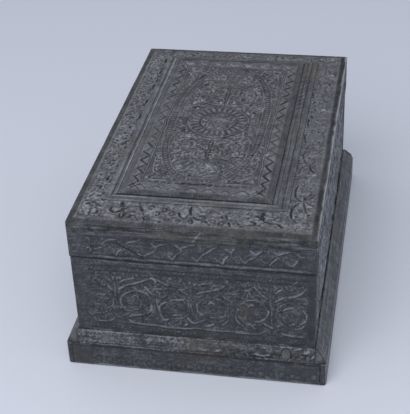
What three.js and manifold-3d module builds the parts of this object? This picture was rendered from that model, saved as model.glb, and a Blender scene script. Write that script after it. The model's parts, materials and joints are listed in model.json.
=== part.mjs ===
// Carved wooden box with a hinged lid, built from separate boards, strips, pegs and two small hinges.
// Millimetres, +Z up. The carved short end seen first faces -Y, and the hinges are on the -X side.

import * as THREE from 'three';
import { ConvexGeometry } from 'three/addons/geometries/ConvexGeometry.js';
import { mergeVertices } from 'three/addons/utils/BufferGeometryUtils.js';
import Module from 'manifold-3d';

const wasm = await Module();
wasm.setup();

// Body of the box
const bodyWidth = 150;
const bodyLength = 239.4;
const bodyHeight = 64;
const wallThickness = 7;

// Plinth: a board edged with thin strips, with sloping mouldings round the foot of the walls
const plinthReachSide = 7.8;
const plinthReachEnd = 5.8;
const plinthHeight = 16.8;
const edgingThickness = 4;
const mouldingHeight = 8.5;
const mouldingLip = 1;
const mouldingLedge = 1.2;
const mouldingSetback = 0.5;

// Lid: four rim boards under a thick top board
const lidSeam = 0.4;
const lidOverhang = 0.6;
const lidRimHeight = 17.2;
const lidRimThickness = 7.6;
const lidBoardThickness = 9;
const lidBoardChamfer = 1.2;

// Carving of the walls: a sunk strip in which fillets, linked roundels and stems are left standing
const carvingDepth = 0.8;
const carvingFromTop = 4.2;
const endCarvingMargins = { left: 5.5, right: 3.5 };
const sideCarvingMargins = { left: 2.5, right: 2.5 };
const filletWidth = 1;
const filletsFromTop = [9.8, 49.4];
const roundelPitch = 24;
const roundelRadius = 10.2;
const roundelBand = 1.5;
const roundelHeart = 2.4;
const roundelFromTop = 31;
const stemWidth = 2.8;
const stemFromTop = 20;
const stemLength = 24;

// Low frame on the lid: how far its outer edge lies from each edge of the lid, and how wide its strips are
const frameFromLeft = 17.4;
const frameFromRight = 20.6;
const frameFromFront = 25.5;
const frameFromBack = 15;
const frameWidthLeft = 7.2;
const frameWidthRight = 10;
const frameWidthFront = 6.8;
const frameWidthBack = 4.6;
const frameThickness = 0.9;

// Raised panel inside the frame
const panelHeight = 2.2;
const panelEdgeHeight = 1;
const panelChamferWidth = 4.4;

// Carving of the panel: a sunk field with an oval band, a rosette, scrolls and stems left standing in it
const fieldDepth = 0.5;
const fieldFromSide = 13.6;
const fieldFromFront = 19;
const fieldFromBack = 12;
const ovalHalfWidth = 34;
const ovalHalfLength = 78;
const ovalPower = 2.6;
const ovalBand = 5.8;
const rosetteRadius = 21;
const rosetteBand = 9.6;
const rosetteHeart = 6.2;
const scrollRadius = 11;
const scrollBand = 1.8;
const scrollHeart = 3;
const scrollFromAxis = 16.5;
const scrollFromMiddle = 35;
const panelStemWidth = 1.8;
const panelStemLength = 30;

// Wooden pegs through the mouldings of the two short ends, into the end walls
const pegRadius = 2.7;
const pegFromEnd = 17.5;
const pegsPerEnd = 3;
const pegHeightOnMoulding = 4.4;
const pegDepthInWall = 4;
const pegProud = 0.3;

// Round nails at the right-hand end of each end moulding and end strip
const mouldingNailRadius = 1.2;
const mouldingNailFromEnd = 4;
const mouldingNailHeightOnMoulding = 3;
const edgingNailRadius = 1.9;
const edgingNailFromEnd = 3.4;
const edgingNailHeight = 6.2;
const nailDepth = 5;
const nailProud = 0.2;

// Butt hinges let into the edges of the left wall and the left rim of the lid
const hingeFromEnd = 49.7;
const hingeLength = 26;
const hingeLeafWidth = 5.8;
const hingeLeafThickness = 1;
const barrelRadius = 2;
const knuckleGap = 0.4;
const pinRadius = 0.8;
const pinProud = 0.5;
const screwFromLeafEnd = 4.5;
const screwFromAxis = 4.1;
const screwHeadRadius = 1.3;
const screwHeadDepth = 0.8;
const screwShankRadius = 0.6;
const screwLength = 6;

// Clearances
const glueLine = 0.1;
const pegClearance = 0.25;
const nailClearance = 0.2;
const mortiseClearance = 0.2;
const barrelClearance = 0.4;
const pinClearance = 0.2;
const screwClearance = 0.15;
const clearOfFace = 1;

// Facets of the round pieces
const roundSides = 24;
const smallRoundSides = 16;
const ovalSides = 40;

// Levels and outlines that follow from the sizes above
const wallBase = plinthHeight;
const bodyTop = plinthHeight + bodyHeight;
const lidBase = bodyTop + lidSeam;
const lidBoardBase = lidBase + lidRimHeight;
const lidTop = lidBoardBase + lidBoardThickness;
const mouldingTop = plinthHeight + mouldingHeight;
const lidWidth = bodyWidth + 2 * lidOverhang;
const lidLength = bodyLength + 2 * lidOverhang;
const hingeAxisX = -bodyWidth / 2;
const hingeAxisZ = bodyTop + lidSeam / 2;
const lidOutline = {
  left: -lidWidth / 2,
  right: lidWidth / 2,
  front: -lidLength / 2,
  back: lidLength / 2,
};

// Finishes: the colour of each kind of piece
const finishes = {
  carvedWood: { color: '#3c4045', roughness: 0.62, metalness: 0 },
  mouldedWood: { color: '#44484c', roughness: 0.66, metalness: 0 },
  insideWood: { color: '#3a3430', roughness: 0.75, metalness: 0 },
  pegWood: { color: '#5b5e5e', roughness: 0.7, metalness: 0 },
  brass: { color: '#8d7440', roughness: 0.45, metalness: 0.9 },
};

function piece(name, geometry, finish, position = [0, 0, 0]) {
  const mesh = new THREE.Mesh(geometry, new THREE.MeshStandardMaterial(finishes[finish]));
  mesh.name = name;
  mesh.position.set(...position);
  return mesh;
}

// A board between two corners, as a mesh whose own origin is at its centre
function board(name, from, to, finish) {
  const size = to.map((value, i) => value - from[i]);
  const centre = to.map((value, i) => (value + from[i]) / 2);
  return piece(name, new THREE.BoxGeometry(...size), finish, centre);
}

function boxBetween(from, to) {
  const size = to.map((value, i) => value - from[i]);
  const centre = to.map((value, i) => (value + from[i]) / 2);
  return new THREE.BoxGeometry(...size).translate(...centre);
}

function convexSolid(points) {
  return new ConvexGeometry(points.map((point) => new THREE.Vector3(...point)));
}

function toSolid(geometry) {
  const shell = geometry.clone();
  shell.deleteAttribute('normal');
  shell.deleteAttribute('uv');
  const merged = mergeVertices(shell, 1e-5);
  const vertProperties = Float32Array.from(merged.attributes.position.array);
  const triVerts = Uint32Array.from(merged.index.array);
  return new wasm.Manifold(new wasm.Mesh({ numProp: 3, vertProperties, triVerts }));
}

function toGeometry(solid) {
  const mesh = solid.getMesh();
  const geometry = new THREE.BufferGeometry();
  geometry.setAttribute('position', new THREE.BufferAttribute(mesh.vertProperties, 3));
  geometry.setIndex(new THREE.BufferAttribute(mesh.triVerts, 1));
  geometry.computeVertexNormals();
  return geometry;
}

function cut(geometry, tools) {
  return toGeometry(tools.reduce((solid, tool) => solid.subtract(toSolid(tool)), toSolid(geometry)));
}

function join(geometries) {
  return geometries.map(toSolid).reduce((solid, other) => solid.add(other));
}

// A round rod along Y
function rodAlongY(radius, x, z, fromY, toY, sides) {
  const rod = new THREE.CylinderGeometry(radius, radius, toY - fromY, sides);
  return rod.translate(x, (toY + fromY) / 2, z);
}

// Pieces of the back end are those of the front end turned half a turn about Z
function atBackEnd(geometry) {
  return geometry.clone().rotateZ(Math.PI);
}

// Mouldings round the foot of the walls

// How far the slope of a moulding reaches out from the wall at a height, for a given reach of the plinth
function slopeReach(reach, z) {
  const foot = plinthHeight + mouldingLip;
  const share = (z - foot) / (mouldingTop - foot);
  return (reach - mouldingSetback) * (1 - share) + mouldingLedge * share;
}

const mouldingLevels = [plinthHeight + glueLine, plinthHeight + mouldingLip, mouldingTop];

function mouldingReach(reach, z) {
  return z > plinthHeight + mouldingLip ? slopeReach(reach, z) : reach - mouldingSetback;
}

// The end moulding lies between the side mouldings
function endMoulding() {
  const points = [];
  for (const z of mouldingLevels) {
    for (const x of [-bodyWidth / 2, bodyWidth / 2]) {
      points.push([x, -bodyLength / 2 - glueLine, z]);
      points.push([x, -bodyLength / 2 - mouldingReach(plinthReachEnd, z), z]);
    }
  }
  return convexSolid(points);
}

// The side moulding runs the whole length, and its ends carry on the slope of the end mouldings
function sideMoulding(side) {
  const points = [];
  for (const z of mouldingLevels) {
    for (const end of [-1, 1]) {
      const y = end * (bodyLength / 2 + mouldingReach(plinthReachEnd, z));
      points.push([side * (bodyWidth / 2 + glueLine), y, z]);
      points.push([side * (bodyWidth / 2 + mouldingReach(plinthReachSide, z)), y, z]);
    }
  }
  return convexSolid(points);
}

// A rod through the end moulding into the wall, with its outer end cut to the slope and a little proud
function rodInMoulding(radius, x, z, depth, proud, sides) {
  const innerY = -bodyLength / 2 + depth;
  const outerY = -bodyLength / 2 - plinthReachEnd;
  const rod = rodAlongY(radius, x, z, outerY, innerY, sides);
  const position = rod.attributes.position;
  for (let i = 0; i < position.count; i += 1) {
    if (position.getY(i) < -bodyLength / 2) {
      position.setY(i, -bodyLength / 2 - slopeReach(plinthReachEnd, position.getZ(i)) - proud);
    }
  }
  return rod;
}

const pegZ = plinthHeight + pegHeightOnMoulding;
const pegSpacing = (bodyWidth - 2 * pegFromEnd) / (pegsPerEnd - 1);
const pegPlaces = Array.from({ length: pegsPerEnd }, (_, i) => pegFromEnd - bodyWidth / 2 + i * pegSpacing);
const mouldingNailX = bodyWidth / 2 - mouldingNailFromEnd;
const mouldingNailZ = plinthHeight + mouldingNailHeightOnMoulding;
const throughMoulding = -bodyLength / 2 - plinthReachEnd - glueLine;

function pegHole(x) {
  const endY = -bodyLength / 2 + pegDepthInWall + pegClearance;
  return rodAlongY(pegRadius + pegClearance, x, pegZ, throughMoulding, endY, roundSides);
}

function mouldingNailHole() {
  const radius = mouldingNailRadius + nailClearance;
  const endY = -bodyLength / 2 + nailDepth + nailClearance;
  return rodAlongY(radius, mouldingNailX, mouldingNailZ, throughMoulding, endY, smallRoundSides);
}

const pegHoles = pegPlaces.map(pegHole);
const frontMoulding = cut(endMoulding(), [...pegHoles, mouldingNailHole()]);

// Plinth board and the strips on its edges

const plinthCore = {
  x: bodyWidth / 2 + plinthReachSide - edgingThickness,
  y: bodyLength / 2 + plinthReachEnd - edgingThickness,
};
const edgingNailX = plinthCore.x - edgingNailFromEnd;
const edgingOuterY = -plinthCore.y - edgingThickness;

function edgingNail() {
  const innerY = -plinthCore.y + nailDepth;
  const outerY = edgingOuterY + glueLine;
  return rodAlongY(edgingNailRadius, edgingNailX, edgingNailHeight, outerY, innerY, roundSides);
}

function edgingNailHole() {
  const radius = edgingNailRadius + nailClearance;
  const innerY = -plinthCore.y + nailDepth + nailClearance;
  return rodAlongY(radius, edgingNailX, edgingNailHeight, edgingOuterY - glueLine, innerY, roundSides);
}

const endEdging = cut(
  boxBetween([-plinthCore.x, edgingOuterY, 0], [plinthCore.x, -plinthCore.y - glueLine, plinthHeight]),
  [edgingNailHole()],
);

const plinthBoard = cut(
  boxBetween([-plinthCore.x, -plinthCore.y, 0], [plinthCore.x, plinthCore.y, plinthHeight]),
  [edgingNailHole(), atBackEnd(edgingNailHole())],
);

function sideEdging(name, side) {
  const inner = side * (plinthCore.x + glueLine);
  const outer = side * (plinthCore.x + edgingThickness);
  const y = plinthCore.y + edgingThickness;
  const from = [Math.min(inner, outer), -y, 0];
  return board(name, from, [Math.max(inner, outer), y, plinthHeight], 'mouldedWood');
}

// Hinges: the leaf of the base is described with up = 1, and the leaf of the lid with up = -1

const knuckleLength = (hingeLength - 2 * knuckleGap) / 3;
const knuckleStep = knuckleLength + knuckleGap;
const hingePlaces = { front: hingeFromEnd - bodyLength / 2, back: bodyLength / 2 - hingeFromEnd };
const screwReach = hingeLength / 2 - screwFromLeafEnd;
const screwPlaces = { front: -screwReach, back: screwReach };

function leafEdge(up) {
  return up > 0 ? bodyTop : lidBase;
}

function knuckle(y) {
  const half = knuckleLength / 2;
  return rodAlongY(barrelRadius, hingeAxisX, hingeAxisZ, y - half, y + half, roundSides);
}

function knuckleSpace(y) {
  const half = knuckleLength / 2 + knuckleGap;
  const radius = barrelRadius + barrelClearance;
  return rodAlongY(radius, hingeAxisX, hingeAxisZ, y - half, y + half, roundSides);
}

function leafPlate(up, y, grow) {
  const face = leafEdge(up);
  const back = face - up * (hingeLeafThickness + grow);
  const half = hingeLength / 2 + grow;
  const from = [hingeAxisX, y - half, Math.min(face, back)];
  return boxBetween(from, [hingeAxisX + hingeLeafWidth + grow, y + half, Math.max(face, back)]);
}

// A countersunk screw, or with grow above nothing the hole for it, with its head at the face of the leaf
function screw(up, y, grow) {
  const tip = 2 * screwShankRadius;
  const profile = [
    [0, grow],
    [screwHeadRadius + grow, grow],
    [screwShankRadius + grow, -screwHeadDepth],
    [screwShankRadius + grow, -screwLength + tip],
    [0, -screwLength - grow],
  ];
  const points = profile.map(([radius, depth]) => new THREE.Vector2(radius, depth)).reverse();
  const turned = new THREE.LatheGeometry(points, smallRoundSides).rotateX(up * Math.PI / 2);
  return turned.translate(hingeAxisX + screwFromAxis, y, leafEdge(up));
}

function hingeLeaf(up, y) {
  const ownKnuckles = up > 0 ? [y - knuckleStep, y + knuckleStep] : [y];
  const otherKnuckles = up > 0 ? [y] : [y - knuckleStep, y + knuckleStep];
  const half = hingeLength / 2 + glueLine;
  const boreRadius = pinRadius + pinClearance;
  const bore = rodAlongY(boreRadius, hingeAxisX, hingeAxisZ, y - half, y + half, smallRoundSides);
  const screwHoles = Object.values(screwPlaces).map((place) => screw(up, y + place, screwClearance));
  const cleared = toSolid(cut(leafPlate(up, y, 0), otherKnuckles.map(knuckleSpace)));
  const leaf = cleared.add(join(ownKnuckles.map(knuckle)));
  return cut(toGeometry(leaf), [bore, ...screwHoles]);
}

function hingePin(y) {
  const half = hingeLength / 2 + pinProud;
  return rodAlongY(pinRadius, hingeAxisX, hingeAxisZ, y - half, y + half, smallRoundSides);
}

// What is cut away for one hinge: the mortise of the leaf, the hollow of the barrel and the screw holes
function hingeCuts(up, y) {
  const half = hingeLength / 2 + pinProud + mortiseClearance;
  const radius = barrelRadius + barrelClearance;
  const hollow = rodAlongY(radius, hingeAxisX, hingeAxisZ, y - half, y + half, roundSides);
  const screwHoles = Object.values(screwPlaces).map((place) => screw(up, y + place, screwClearance));
  return [leafPlate(up, y, mortiseClearance), hollow, ...screwHoles];
}

function allHingeCuts(up) {
  return Object.values(hingePlaces).flatMap((y) => hingeCuts(up, y));
}

// Carving: a face is drawn lying flat, x to the right and y up the face, with z out of the wood from the face

// The points of a closed oval, an ellipse when the power is 2 and squarer above it
function ovalOutline([x, y], [halfX, halfY], sides, power = 2) {
  const swelling = (value) => Math.sign(value) * Math.abs(value) ** (2 / power);
  return Array.from({ length: sides }, (_, i) => {
    const angle = (2 * Math.PI * i) / sides;
    return [x + halfX * swelling(Math.cos(angle)), y + halfY * swelling(Math.sin(angle))];
  });
}

// What stands in a sunk ground: a solid of that outline that reaches past the ground on both sides
function standing(outline, depth) {
  const shape = new THREE.Shape(outline.map(([x, y]) => new THREE.Vector2(x, y)));
  const height = depth + 3 * clearOfFace;
  const form = new THREE.ExtrudeGeometry(shape, { depth: height, bevelEnabled: false });
  return toSolid(form.translate(0, 0, -depth - clearOfFace));
}

function standingBar([x, y], [width, height], depth) {
  const [halfX, halfY] = [width / 2, height / 2];
  const corners = [[-1, -1], [1, -1], [1, 1], [-1, 1]];
  return standing(corners.map(([signX, signY]) => [x + signX * halfX, y + signY * halfY]), depth);
}

function standingDisc(centre, radius, depth, sides) {
  return standing(ovalOutline(centre, [radius, radius], sides), depth);
}

function standingRing(centre, radius, band, depth, sides) {
  return standingDisc(centre, radius, depth, sides).subtract(standingDisc(centre, radius - band, depth, sides));
}

// What is carved away from a field between two corners round the forms that stand in it
function sunkField([fromX, fromY], [toX, toY], depth, forms) {
  const field = toSolid(boxBetween([fromX, fromY, -depth], [toX, toY, clearOfFace]));
  return forms.reduce((solid, form) => solid.subtract(form), field);
}

// The strip of a wall of that length, with heights from the table
function wallCarving(length, margins) {
  const left = margins.left - length / 2;
  const right = length / 2 - margins.right;
  const middle = (left + right) / 2;
  const count = Math.floor((right - left) / roundelPitch + 0.25);
  const places = Array.from({ length: count }, (_, i) => middle + (i - (count - 1) / 2) * roundelPitch);
  const roundelZ = bodyTop - roundelFromTop;
  const stemZ = bodyTop - stemFromTop - stemLength / 2;
  const forms = filletsFromTop.map((fromTop) => (
    standingBar([middle, bodyTop - fromTop], [right - left, filletWidth], carvingDepth)
  ));
  for (const x of places) {
    const ringReach = roundelRadius + roundelBand / 2;
    forms.push(standingRing([x, roundelZ], ringReach, roundelBand, carvingDepth, smallRoundSides));
    forms.push(standingDisc([x, roundelZ], roundelHeart, carvingDepth, smallRoundSides / 2));
  }
  for (const x of places.slice(1)) {
    forms.push(standingBar([x - roundelPitch / 2, stemZ], [stemWidth, stemLength], carvingDepth));
  }
  return sunkField([left, mouldingTop], [right, bodyTop - carvingFromTop], carvingDepth, forms);
}

// Walls of the body: the end walls run the whole width, and the side walls lie between them

const innerX = bodyWidth / 2 - wallThickness;
const innerY = bodyLength / 2 - wallThickness;

const sideWallEnd = innerY - glueLine;
const endCarving = wallCarving(bodyWidth, endCarvingMargins);
const sideCarving = wallCarving(2 * sideWallEnd, sideCarvingMargins);

const endWall = cut(
  boxBetween(
    [-bodyWidth / 2, -bodyLength / 2, wallBase + glueLine],
    [bodyWidth / 2, -innerY, bodyTop],
  ),
  [...pegHoles, mouldingNailHole(), toGeometry(endCarving.rotate([90, 0, 0]).translate([0, -bodyLength / 2, 0]))],
);

const leftWall = cut(
  boxBetween(
    [-bodyWidth / 2, -sideWallEnd, wallBase + glueLine],
    [-innerX, sideWallEnd, bodyTop],
  ),
  [...allHingeCuts(1), toGeometry(sideCarving.rotate([90, 0, -90]).translate([-bodyWidth / 2, 0, 0]))],
);

const rightWall = cut(
  boxBetween(
    [innerX, -sideWallEnd, wallBase + glueLine],
    [bodyWidth / 2, sideWallEnd, bodyTop],
  ),
  [toGeometry(sideCarving.rotate([90, 0, 90]).translate([bodyWidth / 2, 0, 0]))],
);

// Lid

const rimInnerX = lidWidth / 2 - lidRimThickness;
const rimInnerY = lidLength / 2 - lidRimThickness;

const rimTop = lidBoardBase - glueLine;

const leftRim = cut(
  boxBetween([-lidWidth / 2, -rimInnerY + glueLine, lidBase], [-rimInnerX, rimInnerY - glueLine, rimTop]),
  allHingeCuts(-1),
);

function rectangleCorners(outline, inset, z) {
  return [
    [outline.left + inset, outline.front + inset, z],
    [outline.right - inset, outline.front + inset, z],
    [outline.right - inset, outline.back - inset, z],
    [outline.left + inset, outline.back - inset, z],
  ];
}

// A flat slab whose upper edges are cut to a slope
function chamferedSlab(outline, bottom, edge, top, chamfer) {
  return convexSolid([
    ...rectangleCorners(outline, 0, bottom),
    ...rectangleCorners(outline, 0, edge),
    ...rectangleCorners(outline, chamfer, top),
  ]);
}

const frameOuter = {
  left: lidOutline.left + frameFromLeft,
  right: lidOutline.right - frameFromRight,
  front: lidOutline.front + frameFromFront,
  back: lidOutline.back - frameFromBack,
};

const frameInner = {
  left: frameOuter.left + frameWidthLeft,
  right: frameOuter.right - frameWidthRight,
  front: frameOuter.front + frameWidthFront,
  back: frameOuter.back - frameWidthBack,
};

const panelOutline = {
  left: frameInner.left + glueLine,
  right: frameInner.right - glueLine,
  front: frameInner.front + glueLine,
  back: frameInner.back - glueLine,
};

// One strip of the low frame, mitred at both ends: corner numbers run round the outline from front left
function frameStrip(first, second, alongX) {
  const points = [];
  for (const z of [lidTop + glueLine, lidTop + frameThickness]) {
    for (const outline of [frameOuter, frameInner]) {
      const corners = rectangleCorners(outline, 0, z);
      const middle = corners[first].map((value, i) => (value + corners[second][i]) / 2);
      for (const corner of [corners[first], corners[second]]) {
        const [x, y] = corner;
        const inwardX = alongX ? Math.sign(middle[0] - x) * glueLine : 0;
        const inwardY = alongX ? 0 : Math.sign(middle[1] - y) * glueLine;
        points.push([x + inwardX, y + inwardY, z]);
      }
    }
  }
  return convexSolid(points);
}

// The field of the panel, with its top face at height 0
function panelCarving() {
  const middleX = (panelOutline.left + panelOutline.right) / 2;
  const fieldFront = panelOutline.front + fieldFromFront;
  const fieldBack = panelOutline.back - fieldFromBack;
  const middleY = (fieldFront + fieldBack) / 2;
  const ovalOf = (inset) => {
    const halves = [ovalHalfWidth - inset, ovalHalfLength - inset];
    return standing(ovalOutline([middleX, middleY], halves, ovalSides, ovalPower), fieldDepth);
  };
  const forms = [
    ovalOf(0).subtract(ovalOf(ovalBand)),
    standingRing([middleX, middleY], rosetteRadius, rosetteBand, fieldDepth, roundSides),
    standingDisc([middleX, middleY], rosetteHeart, fieldDepth, smallRoundSides),
  ];
  for (const way of [-1, 1]) {
    const stemY = middleY + way * (rosetteRadius + panelStemLength / 2);
    forms.push(standingBar([middleX, stemY], [panelStemWidth, panelStemLength], fieldDepth));
    for (const hand of [-1, 1]) {
      const centre = [middleX + hand * scrollFromAxis, middleY + way * scrollFromMiddle];
      forms.push(standingRing(centre, scrollRadius, scrollBand, fieldDepth, smallRoundSides));
      forms.push(standingDisc(centre, scrollHeart, fieldDepth, smallRoundSides));
    }
  }
  const fieldLeft = panelOutline.left + fieldFromSide;
  const fieldRight = panelOutline.right - fieldFromSide;
  return sunkField([fieldLeft, fieldFront], [fieldRight, fieldBack], fieldDepth, forms);
}

// Assembly: everything that stands on the table

const base = new THREE.Group();
base.add(
  piece('plinth_board', plinthBoard, 'insideWood'),
  piece('front_edging', endEdging, 'carvedWood'),
  piece('back_edging', atBackEnd(endEdging), 'carvedWood'),
  sideEdging('left_edging', -1),
  sideEdging('right_edging', 1),
  piece('front_moulding', frontMoulding, 'mouldedWood'),
  piece('back_moulding', atBackEnd(frontMoulding), 'mouldedWood'),
  piece('left_moulding', sideMoulding(-1), 'mouldedWood'),
  piece('right_moulding', sideMoulding(1), 'mouldedWood'),
  piece('front_wall', endWall, 'carvedWood'),
  piece('back_wall', atBackEnd(endWall), 'carvedWood'),
  piece('left_wall', leftWall, 'carvedWood'),
  piece('right_wall', rightWall, 'carvedWood'),
);

pegPlaces.forEach((x, i) => {
  const peg = rodInMoulding(pegRadius, x, pegZ, pegDepthInWall, pegProud, roundSides);
  base.add(piece(`front_peg_${i + 1}`, peg, 'pegWood'));
  base.add(piece(`back_peg_${i + 1}`, atBackEnd(peg), 'pegWood'));
});

const mouldingNail = rodInMoulding(
  mouldingNailRadius, mouldingNailX, mouldingNailZ, nailDepth, nailProud, smallRoundSides,
);
base.add(
  piece('front_moulding_nail', mouldingNail, 'pegWood'),
  piece('back_moulding_nail', atBackEnd(mouldingNail), 'pegWood'),
  piece('front_edging_nail', edgingNail(), 'pegWood'),
  piece('back_edging_nail', atBackEnd(edgingNail()), 'pegWood'),
);

// Assembly: everything that lifts with the lid

const lidBoard = chamferedSlab(lidOutline, lidBoardBase, lidTop - lidBoardChamfer, lidTop, lidBoardChamfer);
const panelTop = lidTop + panelHeight;
const centrePanel = cut(
  chamferedSlab(panelOutline, lidTop + glueLine, lidTop + panelEdgeHeight, panelTop, panelChamferWidth),
  [toGeometry(panelCarving().translate([0, 0, panelTop]))],
);
const lid = new THREE.Group();
lid.add(
  board(
    'lid_front_rim',
    [-lidWidth / 2, -lidLength / 2, lidBase],
    [lidWidth / 2, -rimInnerY, rimTop],
    'carvedWood',
  ),
  board(
    'lid_back_rim',
    [-lidWidth / 2, rimInnerY, lidBase],
    [lidWidth / 2, lidLength / 2, rimTop],
    'carvedWood',
  ),
  board(
    'lid_right_rim',
    [rimInnerX, -rimInnerY + glueLine, lidBase],
    [lidWidth / 2, rimInnerY - glueLine, rimTop],
    'carvedWood',
  ),
  piece('lid_left_rim', leftRim, 'carvedWood'),
  piece('lid_board', lidBoard, 'carvedWood'),
  piece('lid_frame_front', frameStrip(0, 1, true), 'mouldedWood'),
  piece('lid_frame_right', frameStrip(1, 2, false), 'mouldedWood'),
  piece('lid_frame_back', frameStrip(2, 3, true), 'mouldedWood'),
  piece('lid_frame_left', frameStrip(3, 0, false), 'mouldedWood'),
  piece('lid_panel', centrePanel, 'carvedWood'),
);

// Hinges and their screws

for (const [place, y] of Object.entries(hingePlaces)) {
  base.add(piece(`${place}_hinge_base_leaf`, hingeLeaf(1, y), 'brass'));
  base.add(piece(`${place}_hinge_pin`, hingePin(y), 'brass'));
  lid.add(piece(`${place}_hinge_lid_leaf`, hingeLeaf(-1, y), 'brass'));
  for (const [end, offset] of Object.entries(screwPlaces)) {
    base.add(piece(`${place}_hinge_base_screw_${end}`, screw(1, y + offset, 0), 'brass'));
    lid.add(piece(`${place}_hinge_lid_screw_${end}`, screw(-1, y + offset, 0), 'brass'));
  }
}

const carvedBox = new THREE.Group();
carvedBox.add(base, lid);

export default carvedBox;
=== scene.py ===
# %% [markdown]
# # A carved wooden box, dressed for a photograph
# The solids of the box come from the CAD frame in metres, +Z up, with the near short end towards -Y. This
# lesson gives them their carving, their wear and their finish, one small step at a time.

# %% Load the frame
import json
import math

import bpy
import numpy as np
from mathutils import Matrix, Vector


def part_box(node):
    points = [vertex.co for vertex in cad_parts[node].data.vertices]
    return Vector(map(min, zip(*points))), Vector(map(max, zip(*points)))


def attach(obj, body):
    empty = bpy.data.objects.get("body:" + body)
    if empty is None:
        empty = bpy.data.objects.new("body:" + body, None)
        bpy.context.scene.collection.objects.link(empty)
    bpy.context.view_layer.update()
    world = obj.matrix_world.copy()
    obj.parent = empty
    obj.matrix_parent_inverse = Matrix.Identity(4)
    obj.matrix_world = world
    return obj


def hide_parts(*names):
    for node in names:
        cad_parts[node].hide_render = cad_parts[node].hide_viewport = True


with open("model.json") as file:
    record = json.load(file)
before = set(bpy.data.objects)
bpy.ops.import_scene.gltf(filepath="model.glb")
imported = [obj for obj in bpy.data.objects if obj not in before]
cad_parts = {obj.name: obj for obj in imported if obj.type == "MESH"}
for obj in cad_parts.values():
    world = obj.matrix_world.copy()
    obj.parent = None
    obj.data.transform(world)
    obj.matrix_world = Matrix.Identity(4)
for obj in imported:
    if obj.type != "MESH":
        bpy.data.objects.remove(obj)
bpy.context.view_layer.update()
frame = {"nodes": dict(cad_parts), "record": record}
MM = 0.001

# %% [markdown]
# ## The camera
# The photographer stood in front of the short end, a little to its right, and looked down at about a
# third of a right angle. The angles, the place and the focal length were solved from the corners of the
# box, so that the box fills the picture as it does in the photograph.

# %% Camera
IMAGE_HEIGHT_PX = 414
SENSOR_MM = 36
FOCAL_PX = 1095.15
PITCH_DOWN, YAW, ROLL = math.radians(33.482), math.radians(11.499), math.radians(-2.55)
CAMERA_PLACE_MM = (114.4, -632.0, 469.6)


def aim_camera():
    level = math.cos(PITCH_DOWN)
    back = Vector((math.sin(YAW) * level, -math.cos(YAW) * level, math.sin(PITCH_DOWN)))
    right = Vector((math.cos(YAW), math.sin(YAW), 0))
    up = back.cross(right)
    rolled_right = right * math.cos(ROLL) + up * math.sin(ROLL)
    rolled_up = up * math.cos(ROLL) - right * math.sin(ROLL)
    turned = Matrix((rolled_right, rolled_up, back)).transposed().to_4x4()
    return Matrix.Translation(Vector(CAMERA_PLACE_MM) * MM) @ turned


lens = bpy.data.cameras.new("photo_camera")
lens.sensor_width = SENSOR_MM
lens.lens = FOCAL_PX * SENSOR_MM / IMAGE_HEIGHT_PX
camera = bpy.data.objects.new("photo_camera", lens)
camera.matrix_world = aim_camera()
bpy.context.collection.objects.link(camera)
bpy.context.scene.camera = camera
bpy.context.scene.view_settings.view_transform = "Standard"
print("lens", round(lens.lens, 1), "mm")

# %% [markdown]
# ## Colours and nodes
# A colour picked from a picture is in sRGB, but a shader works in linear light, so one function turns the
# hex values round. A second small function adds a node with its settings, values and links, which keeps
# the materials below short enough to read.

# %% Colours and nodes
def linear(hex_colour):
    """A colour written as sRGB hex, as the linear RGBA that shaders take."""
    channels = [int(hex_colour[i:i + 2], 16) / 255 for i in (1, 3, 5)]
    return [c / 12.92 if c <= 0.04045 else ((c + 0.055) / 1.055) ** 2.4 for c in channels] + [1.0]


def add_node(tree, kind, settings=None, inputs=None, links=None):
    """Add one node: its settings, the values of its inputs, and the sockets that feed its inputs."""
    node = tree.nodes.new(kind)
    for name, value in (settings or {}).items():
        setattr(node, name, value)
    for name, value in (inputs or {}).items():
        node.inputs[name].default_value = value
    for name, source in (links or {}).items():
        tree.links.new(source, node.inputs[name])
    return node


# %% [markdown]
# ## Floor and light
# The photograph was taken on pale bluish paper in flat light that comes from above and a little from the
# left, nearer to the short end than to the far one, so the shadow on the right is soft and faint and the
# floor grows darker towards the back. One broad window does that, and the even sky of the world fills the
# rest.

# %% Floor and light
FLOOR_COLOUR, FLOOR_SIZE = "#d3d7e1", 6.0
WINDOW_PLACE, WINDOW_AIM = (-0.14, -1.04, 1.02), (0, -0.42, 0)
WINDOW_SIZE, WINDOW_WATTS = 1.2, 12.8
SKY_COLOUR, SKY_STRENGTH = "#e4e8f2", 0.69


def plain_floor(size, colour):
    mesh = bpy.data.meshes.new("floor")
    half = size / 2
    corners = [(-half, -half, 0), (half, -half, 0), (half, half, 0), (-half, half, 0)]
    mesh.from_pydata(corners, [], [(0, 1, 2, 3)])
    floor = bpy.data.objects.new("floor", mesh)
    bpy.context.collection.objects.link(floor)
    material = bpy.data.materials.new("pale paper floor")
    material.use_nodes = True
    shader = material.node_tree.nodes["Principled BSDF"]
    shader.inputs["Base Color"].default_value = linear(colour)
    shader.inputs["Roughness"].default_value = 0.9
    mesh.materials.append(material)


def window_light(name, place, target, size, watts):
    data = bpy.data.lights.new(name, "AREA")
    data.shape = "SQUARE"
    data.size = size
    data.energy = watts
    light = bpy.data.objects.new(name, data)
    light.location = place
    light.rotation_euler = (Vector(target) - Vector(place)).to_track_quat("-Z", "Y").to_euler()
    bpy.context.collection.objects.link(light)


plain_floor(FLOOR_SIZE, FLOOR_COLOUR)
window_light("window over the near end", WINDOW_PLACE, WINDOW_AIM, WINDOW_SIZE, WINDOW_WATTS)
world = bpy.data.worlds.new("studio")
world.use_nodes = True
sky = world.node_tree.nodes["Background"].inputs
sky["Color"].default_value = linear(SKY_COLOUR)
sky["Strength"].default_value = SKY_STRENGTH
bpy.context.scene.world = world
print("window:", WINDOW_SIZE, "m,", WINDOW_WATTS, "W; sky:", SKY_COLOUR, SKY_STRENGTH)
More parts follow.
